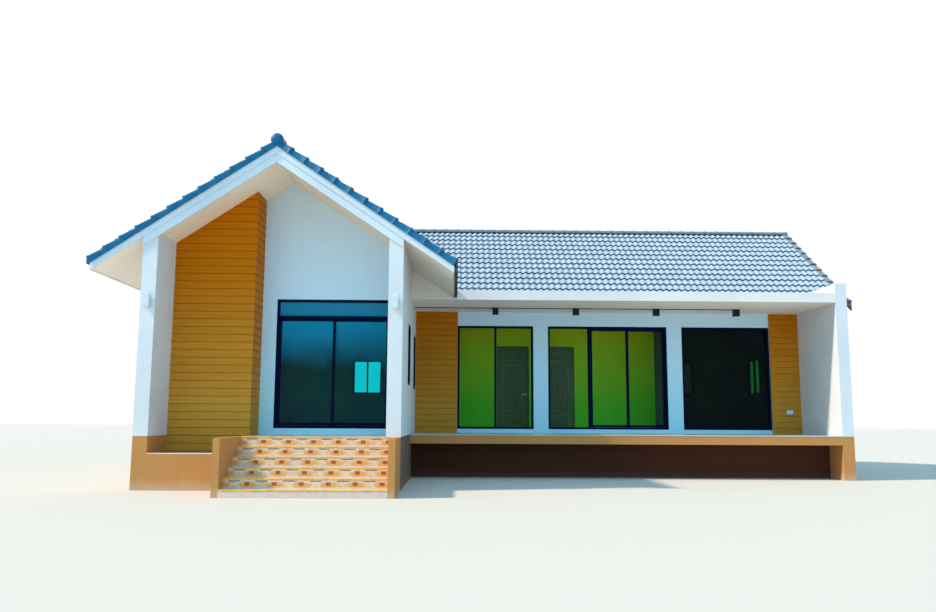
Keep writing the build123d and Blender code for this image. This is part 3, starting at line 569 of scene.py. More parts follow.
def motif_finish(name, stair):
    """Patterned riser tile in its own places: a low mound with a square on it, dark dashes above and a cool
    band of painted shade along the foot. The lowest row is dusty."""
    graph = Graph(name)
    across, up, _ = graph.tile_place()
    place = graph.place()
    u = across.wrapped()
    v = up.wrapped()
    offset = u - 0.5
    side = offset.size()
    cloud = graph.noise(graph.stretched(place, (1.0, 1.0, 2.2)), 34.0, 4.0, 0.6)
    fine = graph.noise(place, 120.0, 3.0, 0.6)
    blot = graph.noise(graph.stretched(place, (1.0, 1.0, 3.0)), 11.0, 4.0, 0.65)
    wide = offset.most(0) / 0.46 + (0 - offset).most(0) / 0.34
    tall = (v - 0.36) / 0.36
    reach = wide * wide + tall * tall + (cloud - 0.5) * 2.6
    mound = 1 - reach.rise(0.25, 1.0)
    core = 1 - reach.rise(0.0, 0.35)
    square = (side < 0.092) * (v > 0.29) * (v < 0.66)
    brick = graph.blend(fine.rise(0.3, 0.7), stair.brick, scaled(stair.brick, 2.2))
    away = (u - 0.04).size().least((u - 1.04).size())
    dash = (away < 0.22) * (v > 0.70) * (v < 0.83)
    # Painted shade: a cool band along each riser's foot
    foot = 1 - v.rise(0.05, 0.15)
    dusty = 1 - up.floor().rise(0.2, 0.8)
    joint = (side - 0.5).size() < 0.004
    tone = graph.layered(graph.blend(cloud.rise(0.4, 0.65), stair.cream, scaled(stair.cream, 1.15)),
                         (blot.rise(0.48, 0.6) * 0.6, CLAY),
                         (cloud.rise(0.55, 0.63) * 0.7, UMBER),
                         (mound * 0.9, stair.orange),
                         (core * 0.35, AMBER),
                         (square * 0.95, brick),
                         (dash * 0.8, SLATE),
                         (foot * 0.6, RISER_FOOT_SHADE),
                         (dusty * 0.88, SAND),
                         (joint * 0.35, GROUT))
    return graph.finish(Base_Color=tone, Roughness=0.3 + dusty * 0.4, Coat_Weight=0.1 * (1 - dusty),
                        Specular_IOR_Level=0.3)


def slab_tile_finish(name, colour, joint, pitch):
    """Floor tile: a square grid of joints, one tone for each tile and a soft cloud."""
    graph = Graph(name)
    place = graph.place()
    x, y, _ = graph.parts(place)
    column = (x + 20.0) / pitch
    row = (y + 20.0) / pitch
    tile = graph.dice(column.floor(), row.floor(), 1.0)
    cloud = graph.noise(place, 5.0, 5.0, 0.6)
    line = (column.wrapped() - 0.5).size().most((row.wrapped() - 0.5).size()) > 0.495
    tone = graph.layered(graph.blend(tile, scaled(colour, 0.94), scaled(colour, 1.05)),
                         (cloud.rise(0.4, 0.8) * 0.3, scaled(colour, 0.8)),
                         (line, joint))
    relief = graph.bump(1 - line, 0.4, 0.002)
    return graph.finish(Base_Color=tone, Roughness=cloud * 0.25 + 0.15, Normal=relief)


def metal_finish(name, colour, rough=0.4, metallic=0.0, shine=0.5):
    """Powder coat or bare metal: an even colour with a fine orange-peel surface and a little dust."""
    graph = Graph(name)
    place = graph.place()
    peel = graph.noise(place, 220.0, 2.0, 0.5)
    dust = graph.noise(place, 4.0, 4.0, 0.6)
    tone = graph.blend(dust.rise(0.45, 0.85) * 0.25, colour, scaled(colour, 1.8))
    return graph.finish(Base_Color=tone, Roughness=dust * 0.2 + (rough - 0.1), Metallic=metallic,
                        Specular_IOR_Level=shine, Normal=graph.bump(peel, 0.1, 0.001))


def glass_finish(name, tint, opacity, reflection_tint=(1.0, 1.0, 1.0), mirror=0.04, foot=None, levels=(0.0, 1.0)):
    """Tinted float glass: mostly clear, with a faint film of dust that dulls it. It may darken from the upper
    of two levels to the lower."""
    graph = Graph(name)
    place = graph.place()
    film = graph.noise(place, 2.5, 5.0, 0.6)
    tone = tint
    # The porch glass's painted sky reflection: its colour fades from bright at the top to dark at the foot
    if foot:
        height = graph.parts(place)[2] + (film - 0.5) * 0.5
        tone = graph.blend(height.rise(*levels), foot, tint)
    return graph.finish(Base_Color=tone, Roughness=0.03, Alpha=film.rise(0.4, 0.9) * 0.04 + opacity,
                        Specular_IOR_Level=mirror, Specular_Tint=reflection_tint, IOR=1.45)


def body_glass_finish(name, tint):
    """Glass coloured right through, with a faint film of dust."""
    graph = Graph(name)
    film = graph.noise(graph.place(), 2.5, 5.0, 0.6)
    tone = graph.blend(film.rise(0.4, 0.9) * 0.3, tint, scaled(tint, 0.85))
    return graph.finish(Base_Color=tone, Roughness=0.0, Transmission_Weight=1.0, IOR=1.02)


def wood_finish(name, colour):
    """Dark stained door wood with upright grain."""
    graph = Graph(name)
    grain = graph.noise(graph.stretched(graph.place(), (60.0, 60.0, 2.5)), 1.0, 5.0, 0.6)
    tone = graph.blend(grain.rise(0.35, 0.75), scaled(colour, 1.5), scaled(colour, 0.5))
    return graph.finish(Base_Color=tone, Roughness=grain * 0.2 + 0.35, Normal=graph.bump(grain, 0.2, 0.001))


# Colours of the small things
BASE_DUST = (0.62, 0.47, 0.33)
VOID_DUST = (0.16, 0.08, 0.05)
SIDE_DUST = (0.3, 0.2, 0.14)
CEMENT = (0.74, 0.72, 0.69)
STEEL = (0.52, 0.52, 0.50)
BLACK_COAT = (0.008, 0.008, 0.01)
PALE_COAT = (0.62, 0.68, 0.71)
LAMP_GLASS = (0.78, 0.76, 0.70)
TREAD_TILE = (0.62, 0.55, 0.45)
TREAD_JOINT = (0.35, 0.30, 0.25)
TREAD_PITCH = 0.4526
FLOOR_TILE = (0.55, 0.52, 0.47)
FLOOR_JOINT = (0.30, 0.28, 0.25)
FLOOR_PITCH = 0.6
# Painted shade: a dark, dense glass that stands in for the shade of the unlit rooms behind it
ROOM_SHADE_GLASS = (0.001, 0.004, 0.004)
SLOT_GLASS = (0.01, 0.06, 0.20)
REAR_GLASS = (0.01, 0.92, 1.0)
SHADED_GLASS = (0.03, 1.0, 0.18)
# Painted reflection: the sky's blue given to the porch glass's reflections
PAINTED_SKY_SHEEN = (0.0, 0.5, 0.9)

MATERIALS = {}


def material(key):
    """One finish by its key, made once from the panel's settings."""
    if key in MATERIALS:
        return MATERIALS[key]
    scene = bpy.context.scene
    roof, boards, stair = scene.bungalow_roof, scene.bungalow_boards, scene.bungalow_stair
    paint, glass = scene.bungalow_paint, scene.bungalow_glass
    makers = {
        # Walls under the roofs: the white tinted cyan as painted sky shade, strongest at the foot
        "white": lambda: paint_finish("shaded_white_paint", paint.white, 0.75, soot=0.12, top=paint.white_top,
                                      levels=(FLOOR_Z, CEILING_Z + 0.5)),
        # Sunlit columns, fin and outer walls: a darker copy of the white, held down for the sunlight
        "open": lambda: paint_finish("sunlit_white_copy", paint.open_white, 0.75, soot=0.12),
        # The beam and the roof's boards: further copies of the white, each set for its light
        "beam": lambda: paint_finish("beam_paint", paint.beam, 0.75, soot=0.12),
        "trim": lambda: paint_finish("trim_paint", paint.trim, 0.5, soot=0.1),
        "base": lambda: paint_finish("base_paint", paint.base, 0.8, BASE_DUST, 0.16, soot=0.12),
        # Painted shade: dark copies of the base paint for the void and the plinth beside it
        "void": lambda: paint_finish("void_shade_paint", paint.void, 0.9, VOID_DUST, 0.12),
        "side": lambda: paint_finish("side_shade_paint", paint.side, 0.85, SIDE_DUST, 0.12),
        # Ceilings and eaves: the paint raised and warmed as painted bounce light from the ground
        "cream": lambda: paint_finish("porch_ceiling_paint", paint.cream),
        "soffit": lambda: paint_finish("soffit_paint", paint.soffit),
        "eave": lambda: paint_finish("eave_paint", paint.eave),
        "coping": lambda: paint_finish("coping_cement", CEMENT),
        "partition": lambda: paint_finish("partition_paint", paint.partition, 0.7, top=paint.partition_top,
                                          levels=(FLOOR_Z + 0.6, CEILING_Z)),
        "gutter": lambda: metal_finish("gutter_paint", paint.gutter, 0.45),
        "frame": lambda: metal_finish("frame_coat", paint.frame, 0.6, shine=0.04),
        "steel": lambda: metal_finish("brushed_steel", STEEL, 0.32, 1.0),
        "black": lambda: metal_finish("lamp_coat", BLACK_COAT, 0.5, shine=0.2),
        "pale": lambda: metal_finish("wall_lamp_coat", PALE_COAT, 0.5),
        "lens": lambda: metal_finish("lamp_lens", LAMP_GLASS, 0.25),
        "door": lambda: wood_finish("inner_door_stain", paint.door),
        "moulding": lambda: wood_finish("door_moulding", scaled(paint.door, 2.2)),
        "tile": lambda: tile_finish("roof_tile", roof.tile, roof.shade),
        # Shaded copy of the tile colour, deep blue, for the gable's verges and ridge caps
        "verge": lambda: glaze_finish("verge_tile_shaded_copy", roof.verge),
        # The field tile darkened as painted shade, for the main ridge's caps and the main roof's verge tiles
        "cap": lambda: glaze_finish("ridge_tile_painted_shade", scaled(roof.tile, 0.45)),
        # The tiles' ends and undersides take the joint colour, a little lighter, as painted shade
        "under": lambda: glaze_finish("tile_under_painted_shade", scaled(roof.shade, 1.6), 0.7),
        "nosing": lambda: glaze_finish("nosing_strip", stair.strip, 0.4),
        "boards": lambda: board_finish("plank_stain", boards, FLOOR_Z, (FLOOR_Z + 0.4, CEILING_Z + 0.2)),
        "motif": lambda: motif_finish("riser_tile", stair),
        "tread": lambda: slab_tile_finish("tread_tile", TREAD_TILE, TREAD_JOINT, TREAD_PITCH),
        "floor": lambda: slab_tile_finish("floor_tile", FLOOR_TILE, FLOOR_JOINT, FLOOR_PITCH),
        "glass": lambda: glass_finish("terrace_glass", glass.tint, glass.clear),
        # Painted shade of the unlit rooms, laid over their windows
        "dense": lambda: glass_finish("room_shade_glass", ROOM_SHADE_GLASS, glass.dense),
        "slot": lambda: glass_finish("slot_glass", SLOT_GLASS, 0.8),
        # Painted reflection of the sky: blue at the top of the pane and in its reflections, dark at its foot
        "porch": lambda: glass_finish("porch_glass", glass.porch, glass.mirror, PAINTED_SKY_SHEEN, 0.3,
                                      glass.porch_foot, (FLOOR_Z + 1.35, FLOOR_Z + 2.1)),
        "rear": lambda: body_glass_finish("rear_glass", REAR_GLASS),
        "shaded": lambda: body_glass_finish("shaded_glass", SHADED_GLASS),
    }
    MATERIALS[key] = makers[key]()
    return MATERIALS[key]


NODE_FINISH = {
    "base": ("plinth_left", "plinth_rear", "plinth_right", "planter_wall", "stair_wings", "terrace_slab"),
    # plinth_front and plinth_gable take the dark copies of the base paint as painted shade
    "void": ("plinth_front",),
    "side": ("plinth_gable",),
    "white": ("porch_wall_piers", "porch_wall_gable", "window_sills", "front_wall_piers", "front_wall_head"),
    "open": ("gable_columns", "gable_right_wall", "fin_wall", "rear_wall", "left_wall", "right_wall"),
    "beam": ("terrace_beam",),
    "trim": ("barge_boards", "eave_fascias"),
    "cream": ("porch_soffit",),
    "eave": ("eave_soffits",),
    "soffit": ("terrace_soffit", "ceiling"),
    "gutter": ("eave_gutters", "verge_boards"),
    "frame": ("porch_door_frame", "terrace_door_frame", "window_frames"),
    "partition": ("partition_panels", "partition_head"),
    "steel": ("door_hinges",),
    "boards": ("clad_box", "clad_panels"),
    "floor": ("ground_floor",),
    "black": ("lamp_conduit",),
}


class BUNGALOW_OT_finishes(bpy.types.Operator):
    """Gives every node of the frame that stays in view its finish"""
    bl_idname = "bungalow.finishes"
    bl_label = "Finishes"

    def execute(self, context):
        for key, nodes in NODE_FINISH.items():
            for node in nodes:
                mesh = frame["nodes"][node].data
                mesh.materials.clear()
                mesh.materials.append(material(key))
        return {"FINISHED"}


# Roof
X_AXIS = np.array([1.0, 0, 0])
Y_AXIS = np.array([0, 1.0, 0])
UP = np.array([0, 0, 1.0])
WAVE_POINTS = 8
NOSE = 0.007
UNEVEN = 0.0014
LAP = 0.03


class Slope:
    """One slope: across runs along the ridge, down runs to the eave, and out stands off the tiles."""

    def __init__(self, across, down, ridge):
        self.across = np.array(across, float)
        self.down = np.array(down, float)
        self.out = np.array([TAN * down[0], TAN * down[1], COS])
        self.ridge = np.array(ridge, float)

    def point(self, u, s, h):
        """Place of the numbers u across, s down and h out."""
        u, s, h = np.broadcast_arrays(u, s, h)
        return self.ridge + u[..., None] * self.across + s[..., None] * self.down + h[..., None] * self.out


FRONT = Slope((1, 0, 0), (0, -COS, -SIN), (0, RIDGE_Y, RIDGE_Z))
REAR = Slope((1, 0, 0), (0, COS, -SIN), (0, RIDGE_Y, RIDGE_Z))
LEFT = Slope((0, 1, 0), (-COS, 0, -SIN), (RIDGE_X, 0, RIDGE_Z))
RIGHT = Slope((0, 1, 0), (COS, 0, -SIN), (RIDGE_X, 0, RIDGE_Z))


def courses(length, course):
    """How many courses a slope has, and the exact length of each."""
    count = round(length / course)
    return count, length / count


def tile_field(slope, start, end, length, least, most, settings, seed):
    """Wavy tiles as heights over (u, s). A wave is depth * (cos(2 pi u / wave) - 1) / 2, each course rises
    from -step at its head to 0 at its nose, and u is held between two edges, which may follow a valley."""
    tiles = round((end - start) / settings.wave / 2)
    wave = (end - start) / (2 * tiles)
    columns = 2 * tiles * WAVE_POINTS + 1
    count, course = courses(length, settings.course)
    u_line = np.linspace(start, end, columns)
    number = np.arange(count)[:, None]
    # A tile has three stations: its head, the start of its nose, and the nose's end
    s_line = ((number + [0, 1, 1]) * course - [0, NOSE, 0]).ravel()
    down = (number + [0, 0.965, 0.99]).reshape(-1, 1)
    lift = np.tile([-settings.step, 0.0, -NOSE], count)[:, None]
    random = np.random.default_rng(seed)
    wobble = random.normal(0, UNEVEN, (count, tiles + 1))
    tile_of_column = np.minimum(np.arange(columns) // (2 * WAVE_POINTS), tiles - 1)
    rough = np.repeat(wobble[:, tile_of_column], 3, axis=0) * np.tile([0, 1, 1], count)[:, None]
    u = np.clip(u_line, least(s_line)[:, None], most(s_line)[:, None])
    bend = settings.depth * (np.cos(2 * np.pi * (u - start) / wave) - 1) / 2
    top = slope.point(u, s_line[:, None], bend + lift + rough)
    ends = s_line[[0, -1]]
    u_under = np.clip(u_line, least(ends)[:, None], most(ends)[:, None])
    under = slope.point(u_under, (ends + SLAB * TAN)[:, None], -SLAB)
    places = points_of((u - start) / wave / 2, down, 0.0)[..., :2]
    base = top.shape[0] * columns
    line = np.arange(columns - 1)

    def between(first, second):
        """Quads between two rows of corners, each given by the number of its first corner."""
        return np.stack([first + line, first + line + 1, second + line + 1, second + line], axis=1)

    field = [between(row, row + columns) for row in range(0, base - columns, columns)]
    head = between(0, base)
    eave = between(base - columns, base + columns)
    bottom = between(base, base + columns)
    side = np.array([*range(0, base, columns), base + columns, base])
    shape = Shape()
    places = np.concatenate([places, np.zeros((2, columns, 2))])
    shape.add(np.concatenate([top, under]), *field, places=places)
    # The head, eave, underside and side faces take the second finish, a dark painted shade
    shape.cover(head, eave, bottom, side, side + columns - 1, mark=1)
    return shape


def edge_at(value):
    """An edge that stays at one place across."""
    return lambda s: np.full(np.shape(s), float(value))


class BUNGALOW_OT_tiles(bpy.types.Operator):
    """Lays the wavy tiles on the five slopes"""
    bl_idname = "bungalow.tiles"
    bl_label = "Roof tiles"

    def execute(self, context):
        settings = context.scene.bungalow_roof
        eave_x = high("gable_roof_right")[0]

        def right_valley(s):
            return np.minimum(RIDGE_X + s * COS, eave_x)

        def left_valley(s):
            return RIDGE_X - s * COS

        def gable_valley(s):
            return RIDGE_Y - s * COS

        left, right, front = edge_at(ROOF_LEFT), edge_at(ROOF_RIGHT), edge_at(GABLE_FRONT)
        fields = (
            ("main_front", FRONT, RIDGE_X, ROOF_RIGHT, MAIN_LENGTH, right_valley, right),
            ("main_front_left", FRONT, ROOF_LEFT, RIDGE_X, GABLE_LENGTH, left, left_valley),
            ("main_rear", REAR, ROOF_LEFT, ROOF_RIGHT, MAIN_LENGTH, left, right),
            ("gable_left", LEFT, GABLE_FRONT, RIDGE_Y, GABLE_LENGTH, front, gable_valley),
            ("gable_right", RIGHT, GABLE_FRONT, RIDGE_Y, GABLE_LENGTH, front, gable_valley),
        )
        for seed, (name, slope, start, end, length, least, most) in enumerate(fields):
            shape = tile_field(slope, start, end, length, least, most, settings, seed)
            roof, side = name.split("_", 1)
            shape.build("tiles_" + name, ["tile", "under"], slot="roof_tile",
                        replaces=[f"{roof}_roof_{side}"], smooth=50)
        return {"FINISHED"}


def laid_row(start, end, course, before_nose):
    """Distances down a row of tiles: each tile's lap under the one before, its head, and the stations before
    its nose. The first tile has no lap."""
    count, pitch = courses(end - start, course)
    stations = np.concatenate([[-LAP, 0.0], pitch - np.array(before_nose)])
    s = start + np.arange(count)[:, None] * pitch + stations
    s[0, 0] = start
    return s


def verge_profile():
    """The section of a verge tile, as places out over the edge and up off the tiles: a flat roll, a flange
    down its outer side, and the roll's underside. Each corner takes a share of the tile's lift, down to none
    at the flange's foot."""
    middle, middle_height = -0.055, -0.006
    half_width, rise = 0.085, 0.03
    wall, roll_wall = 0.018, 0.016
    neck, foot, lift_reach = -0.07, -0.128, 0.12
    turn = np.radians(np.linspace(180, 0, 9))
    outer = np.stack([middle + half_width * np.cos(turn), middle_height + rise * np.sin(turn)], axis=1)
    inner = np.stack([middle - (half_width - wall) * np.cos(turn), outer[:, 1] - roll_wall], axis=1)
    edge = middle + half_width
    flange = np.array([[edge, neck], [edge, foot], [edge - wall, foot], [edge - wall, neck]])
    section = np.concatenate([outer, flange, inner])
    share = np.clip((section[:, 1] - foot) / lift_reach, 0, 1)
    return section, share


def verge_run(slope, edge, outward, start, end, settings):
    """A row of verge tiles down one edge. Each roll rises from its head to its nose, which ends in a collar
    over the next tile's head, and the flange's lower edge stays in line."""
    section, share = verge_profile()
    s = laid_row(start, end, settings.verge_course, (0.045, 0.038, 0.004, 0.0))
    # At each station, how far the roll lifts and how far its outer side stands out
    lift = np.array([-0.037, -0.036, -0.008, 0.002, 0.003, -0.002])[:, None]
    collar = np.array([-0.004, -0.004, 0.0, 0.006, 0.006, 0.002])[:, None]
    outer_side = section[:, 0] > 0.02
    u = edge + outward * (section[:, 0] + collar * outer_side)
    return slope.point(u, s[:, :, None], section[:, 1] + lift * share)


class BUNGALOW_OT_verges(bpy.types.Operator):
    """Sets the verge tiles along the gable's front and the main roof's two ends"""
    bl_idname = "bungalow.verges"
    bl_label = "Verge tiles"

    def execute(self, context):
        inset = 0.02
        first = 0.03
        left, right = ROOF_LEFT + inset, ROOF_RIGHT - inset
        runs = (
            ("verge_gable_left", LEFT, GABLE_FRONT, -1, GABLE_LENGTH, "verge"),
            ("verge_gable_right", RIGHT, GABLE_FRONT, -1, GABLE_LENGTH, "verge"),
            ("verge_main_right_front", FRONT, right, 1, MAIN_LENGTH, "cap"),
            ("verge_main_right_rear", REAR, right, 1, MAIN_LENGTH, "cap"),
            ("verge_main_left_rear", REAR, left, -1, MAIN_LENGTH, "cap"),
            ("verge_main_left_front", FRONT, left, -1, GABLE_LENGTH, "cap"),
        )
        for name, slope, edge, outward, end, finish in runs:
            shape = Shape()
            shape.tubes(verge_run(slope, edge, outward, first, end, context.scene.bungalow_roof))
            shape.build(name, [finish], slot="roof_tile", smooth=40)
        return {"FINISHED"}


def cap_run(point, axis, side, start, end, radius, settings):
    """Half-round caps in a row: an arc of the given radius, a little wider at the lap, with a wall of one
    thickness."""
    wall = 0.014
    # At each station, how far the radius falls short of the lap's
    swell = np.array([-0.014, -0.012, -0.008, 0.0, 0.0, -0.004])[:, None, None]
    turn = np.radians(np.linspace(-12, 192, 15))[:, None]
    arc = side * np.cos(turn) + UP * np.sin(turn)
    section = np.concatenate([arc * (radius + swell), arc[::-1] * (radius + swell - wall)], axis=1)
    s = laid_row(start, end, settings.cap, (0.05, 0.046, 0.004, 0.0))
    return point + s[:, :, None, None] * axis + section


def dome(centre, axis, side, radius, depth):
    """A round end cap: radius falls as the cosine and depth grows as the sine of one angle."""
    turn = np.radians(np.linspace(0, 84, 7))
    around = np.radians(np.arange(24) * 15)[:, None]
    circle = side * np.cos(around) + UP * np.sin(around)
    reach = np.concatenate([[radius], radius * np.cos(turn)])[:, None, None]
    out = np.concatenate([[-depth], depth * np.sin(turn)])[:, None, None]
    return (centre + axis * out + circle * reach)[None]


class BUNGALOW_OT_ridges(bpy.types.Operator):
    """Lays the half-round caps on both ridges, with a domed end on the gable's"""
    bl_idname = "bungalow.ridges"
    bl_label = "Ridge caps"

    def execute(self, context):
        settings = context.scene.bungalow_roof
        dome_depth = 0.05
        main_radius = 0.08
        main_z = RIDGE_Z - 0.04
        front = low("ridge_caps")[1] + 0.012
        gable_radius = (high("ridge_caps")[2] - low("ridge_caps")[2]) / 2
        gable_z = high("ridge_caps")[2] - gable_radius
        gable_line = np.array([RIDGE_X, 0, gable_z])
        main_line = np.array([0, RIDGE_Y, main_z])
        shape = Shape()
        shape.tubes(cap_run(gable_line, Y_AXIS, X_AXIS, front, RIDGE_Y, gable_radius, settings))
        shape.tubes(dome(gable_line + Y_AXIS * front, -Y_AXIS, X_AXIS, gable_radius, dome_depth))
        shape.tubes(cap_run(main_line, X_AXIS, Y_AXIS, ROOF_LEFT, ROOF_RIGHT, main_radius, settings), mark=1)
        shape.build("ridge_cap_tiles", ["verge", "cap"], slot="roof_tile", replaces=["ridge_caps"], smooth=40)
        return {"FINISHED"}


# Cladding
def lapped_boards(start, end, bottom, top, face, settings, axis, outward, slope_left=None):
    """Lapped boards on a wall: each stands out more at its lower edge. slope_left gives where they start at a
    height, for boards that end at the sloping ceiling."""
    first = math.floor((bottom - FLOOR_Z) / settings.pitch)
    last = math.ceil((top - FLOOR_Z) / settings.pitch)
    lines = FLOOR_Z + np.arange(first, last) * settings.pitch
    least_height = 0.01
    z0 = np.maximum(lines, bottom)
    z1 = np.minimum(lines + settings.pitch, top)
    z = np.stack([z0, z0, z1, z1], axis=1)[z1 - z0 > least_height]
    corners = np.zeros((len(z), 2, 4, 3))
    corners[:, 0, :, axis] = np.clip(slope_left(z), start, end) if slope_left else start
    corners[:, 1, :, axis] = end
    corners[..., 1 - axis] = face + outward * np.array([0.0, settings.thick, settings.thin, 0.0])
    corners[..., 2] = z[:, None]
    return corners


class BUNGALOW_OT_boards(bpy.types.Operator):
    """Nails the lapped boards on the box beside the porch door and on the terrace's two panels"""
    bl_idname = "bungalow.boards"
    bl_label = "Boards"

    def execute(self, context):
        settings = context.scene.bungalow_boards
        foot_z = 0.02

        def ceiling_x(z):
            return RIDGE_X - (high("porch_soffit")[2] - z) / TAN

        corner = BOX_X[1] + settings.thick
        panels = islands("clad_panels")
        panel_face = low("clad_panels")[1]
        pieces = {
            "boards_box_front": [(BOX_X[0], corner, foot_z, SOFFIT_Z, BOX_Y[0], settings, 0, -1, ceiling_x)],
            "boards_box_side": [(BOX_Y[0], BOX_Y[1], FLOOR_Z, SOFFIT_Z, BOX_X[1], settings, 1, 1)],
            "boards_terrace": [(a[0], b[0], FLOOR_Z, CEILING_Z, panel_face, settings, 0, -1)
                               for a, b in (panels[0], panels[-1])],
        }
        for name, walls in pieces.items():
            shape = Shape()
            for wall in walls:
                shape.tubes(lapped_boards(*wall))
            shape.build(name, ["boards"], slot="plank_cladding")
        return {"FINISHED"}


# Stair
class BUNGALOW_OT_stair(bpy.types.Operator):
    """Tiles the stair: patterned risers, plain treads and a nosing strip on every step"""
    bl_idname = "bungalow.stair"
    bl_label = "Stair"

    def execute(self, context):
        stair = context.scene.bungalow_stair
        x0, x1 = STAIR_X
        seam, gap, bed = 0.0004, 0.0005, 0.001
        nosing_depth, nosing_rise = 0.03, 0.002
        last_motif = 20.5
        tile_top = 0.999
        number = np.arange(STEP_COUNT + 1)
        tops = FIRST_RISER + RISER * number
        bottoms = np.concatenate([[0.0], tops[:-1]])
        front = STAIR_Y[0] + TREAD * number
        front[-1] = low("ground_floor")[1]
        back = front + stair.tile
        beds = tops[:-1] - stair.tile
        core = Shape()
        inner = front[1:] - seam
        core.boxes(points_of(x0, back[:-1], 0.0), points_of(x1, inner, beds))
        core.boxes(points_of(x0, front[:-1] + bed, beds), points_of(x1, inner, tops[:-1]), mark=1)
        core.build("stair_core", ["base", "tread"], slot="stair_tile", replaces=["stair_steps"])
        front[-1] -= stair.tile
        back[-1] = low("ground_floor")[1] - gap
        # Motifs are centred on half numbers across, and each riser's places run from its number to the next
        last_place = last_motif + stair.start / stair.motif
        first_place = last_place - (x1 - x0) / stair.motif
        lowest = np.where(number > 0, number, 1 - FIRST_RISER / RISER)
        across = first_place + (last_place - first_place) * CUBE[:, 0]
        up = lowest[:, None] + (number + tile_top - lowest)[:, None] * CUBE[:, 2]
        risers = Shape()
        risers.boxes(points_of(x0, front, bottoms), points_of(x1, back, tops - stair.tile),
                     places=points_of(across, up, 0.0)[..., :2])
        risers.build("riser_tiles", ["motif"], slot="stair_tile", merge=1e-7)
        nosings = Shape()
        nosings.boxes(points_of(x0 + bed, front - stair.proud, tops - stair.nosing),
                      points_of(x1 - bed, front + nosing_depth, tops + nosing_rise))
        nosings.build("nosing_strips", ["nosing"], slot="stair_tile", bevel=0.004)
        return {"FINISHED"}


class BUNGALOW_OT_terrace_floor(bpy.types.Operator):
    """Lays the terrace's floor tiles, whose pale edge shows over the slab, and the planting bed's coping"""
    bl_idname = "bungalow.terrace_floor"
    bl_label = "Terrace floor"

    def execute(self, context):
        a, b = BOX["terrace_slab"]
        end_gap, edge_depth, nose, rise = 0.001, 0.017, 0.006, 0.003
        tiles = Shape()
        tiles.boxes([a[0] + end_gap, a[1] - nose, FLOOR_Z - edge_depth],
                    [high("fin_wall")[0] - end_gap, b[1], FLOOR_Z + rise])
        tiles.build("terrace_floor_tiles", ["floor"], slot="floor_tile", bevel=0.002)
        a, b = BOX["planter_wall"]
        end_x = low("stair_wings")[0] + 0.01
        edge_depth, nose, rise, width = 0.006, 0.002, 0.007, 0.16
        coping = Shape()
        coping.boxes([a[0], a[1] - nose, b[2] - edge_depth], [end_x, a[1] + width, b[2] + rise])
        coping.build("planter_coping", ["coping"], slot="base_paint", bevel=0.002)
        return {"FINISHED"}


# Doors and lamps
OVERLAP = 0.001


class BUNGALOW_OT_leaves(bpy.types.Operator):
    """Makes the four sliding leaves: mitred rails, a gasket, tinted glass, a latch and runners"""
    bl_idname = "bungalow.leaves"
    bl_label = "Sliding leaves"

    def execute(self, context):
        doors = context.scene.bungalow_doors
        rail = doors.rail
        inset = rail - OVERLAP
        rebate = rail - 0.004
        runner_height = 0.0057
        half_gasket, half_runner, half_pane = 0.011, 0.006, 0.003
        latch_bottom, latch_top, latch_width = FLOOR_Z + 0.95, FLOOR_Z + 1.19, 0.03
        latch_inset, latch_proud, latch_bed = 0.012, 0.007, 0.002
        for node in ("porch_leaf_left", "porch_leaf_right", "terrace_leaf_left", "terrace_leaf_right"):
            a, b = low(node).copy(), high(node).copy()
            track = a[2]
            a[2] += runner_height
            middle = (a[1] + b[1]) / 2
            rails = Shape()
            rails.ring(a, b, rail, 1)
            rails.ring([a[0] + inset, middle - half_gasket, a[2] + inset],
                       [b[0] - inset, middle + half_gasket, b[2] - inset], doors.gasket, 1)
            runners = np.array([a[0] + rail, b[0] - 2 * rail])
            rails.boxes(points_of(runners, middle - half_runner, track),
                        points_of(runners + rail, middle + half_runner, a[2] + OVERLAP))
            latch = a[0] + latch_inset if node.endswith("right") else b[0] - latch_inset - latch_width
            rails.boxes([latch, a[1] - latch_proud, latch_bottom],
                        [latch + latch_width, a[1] + latch_bed, latch_top])
            rails.build(node + "_rails", ["frame"], body=node, slot="frame_metal", replaces=[node],
                        bevel=0.0025)
            pane = Shape()
            pane.boxes([a[0] + rebate, middle - half_pane, a[2] + rebate],
                       [b[0] - rebate, middle + half_pane, b[2] - rebate])
            finish = "porch" if node.startswith("porch") else "glass"
            pane.build(node + "_glass", [finish], body=node, slot="window_glass")
        return {"FINISHED"}


class BUNGALOW_OT_panes(bpy.types.Operator):
    """Glazes the fixed windows, each group with its own glass, and lines the two slot windows"""
    bl_idname = "bungalow.panes"
    bl_label = "Fixed panes"

    def execute(self, context):
        dark_room = high("partition_panels")[0]
        rooms = low("partition_panels")[1] - 1
        porch_end = high("gable_right_wall")[0]
        pane_limit = 0.1
        wall_limit = 0.2
        border, lining_depth, lining_proud = 0.05, 0.075, 0.004
        groups = {key: Shape() for key in ("porch", "glass", "dense", "rear", "shaded", "slot")}
        lining = Shape()
        for a, b in islands("window_glass"):
            in_side_wall = b[0] - a[0] < pane_limit
            if in_side_wall:
                finish = "slot" if abs(a[0] - porch_end) < wall_limit else "shaded"
            elif b[1] < WALL_FRONT:
                finish = "porch"
            elif b[1] < rooms:
                finish = "dense" if a[0] > dark_room else "glass"
            else:
                finish = "rear" if b[0] < porch_end else "dense"
            if finish == "slot":
                lining.ring([porch_end - lining_depth, a[1] - border, a[2] - border],
                            [porch_end + lining_proud, b[1] + border, b[2] + border], border, 0)
            groups[finish].boxes(a, b)
        for finish, shape in groups.items():
            replaced = ["window_glass"] if finish == "porch" else []
            shape.build("panes_" + finish, [finish], slot="window_glass", replaces=replaced)
        lining.build("slot_linings", ["frame"], slot="frame_metal", bevel=0.002)
        return {"FINISHED"}


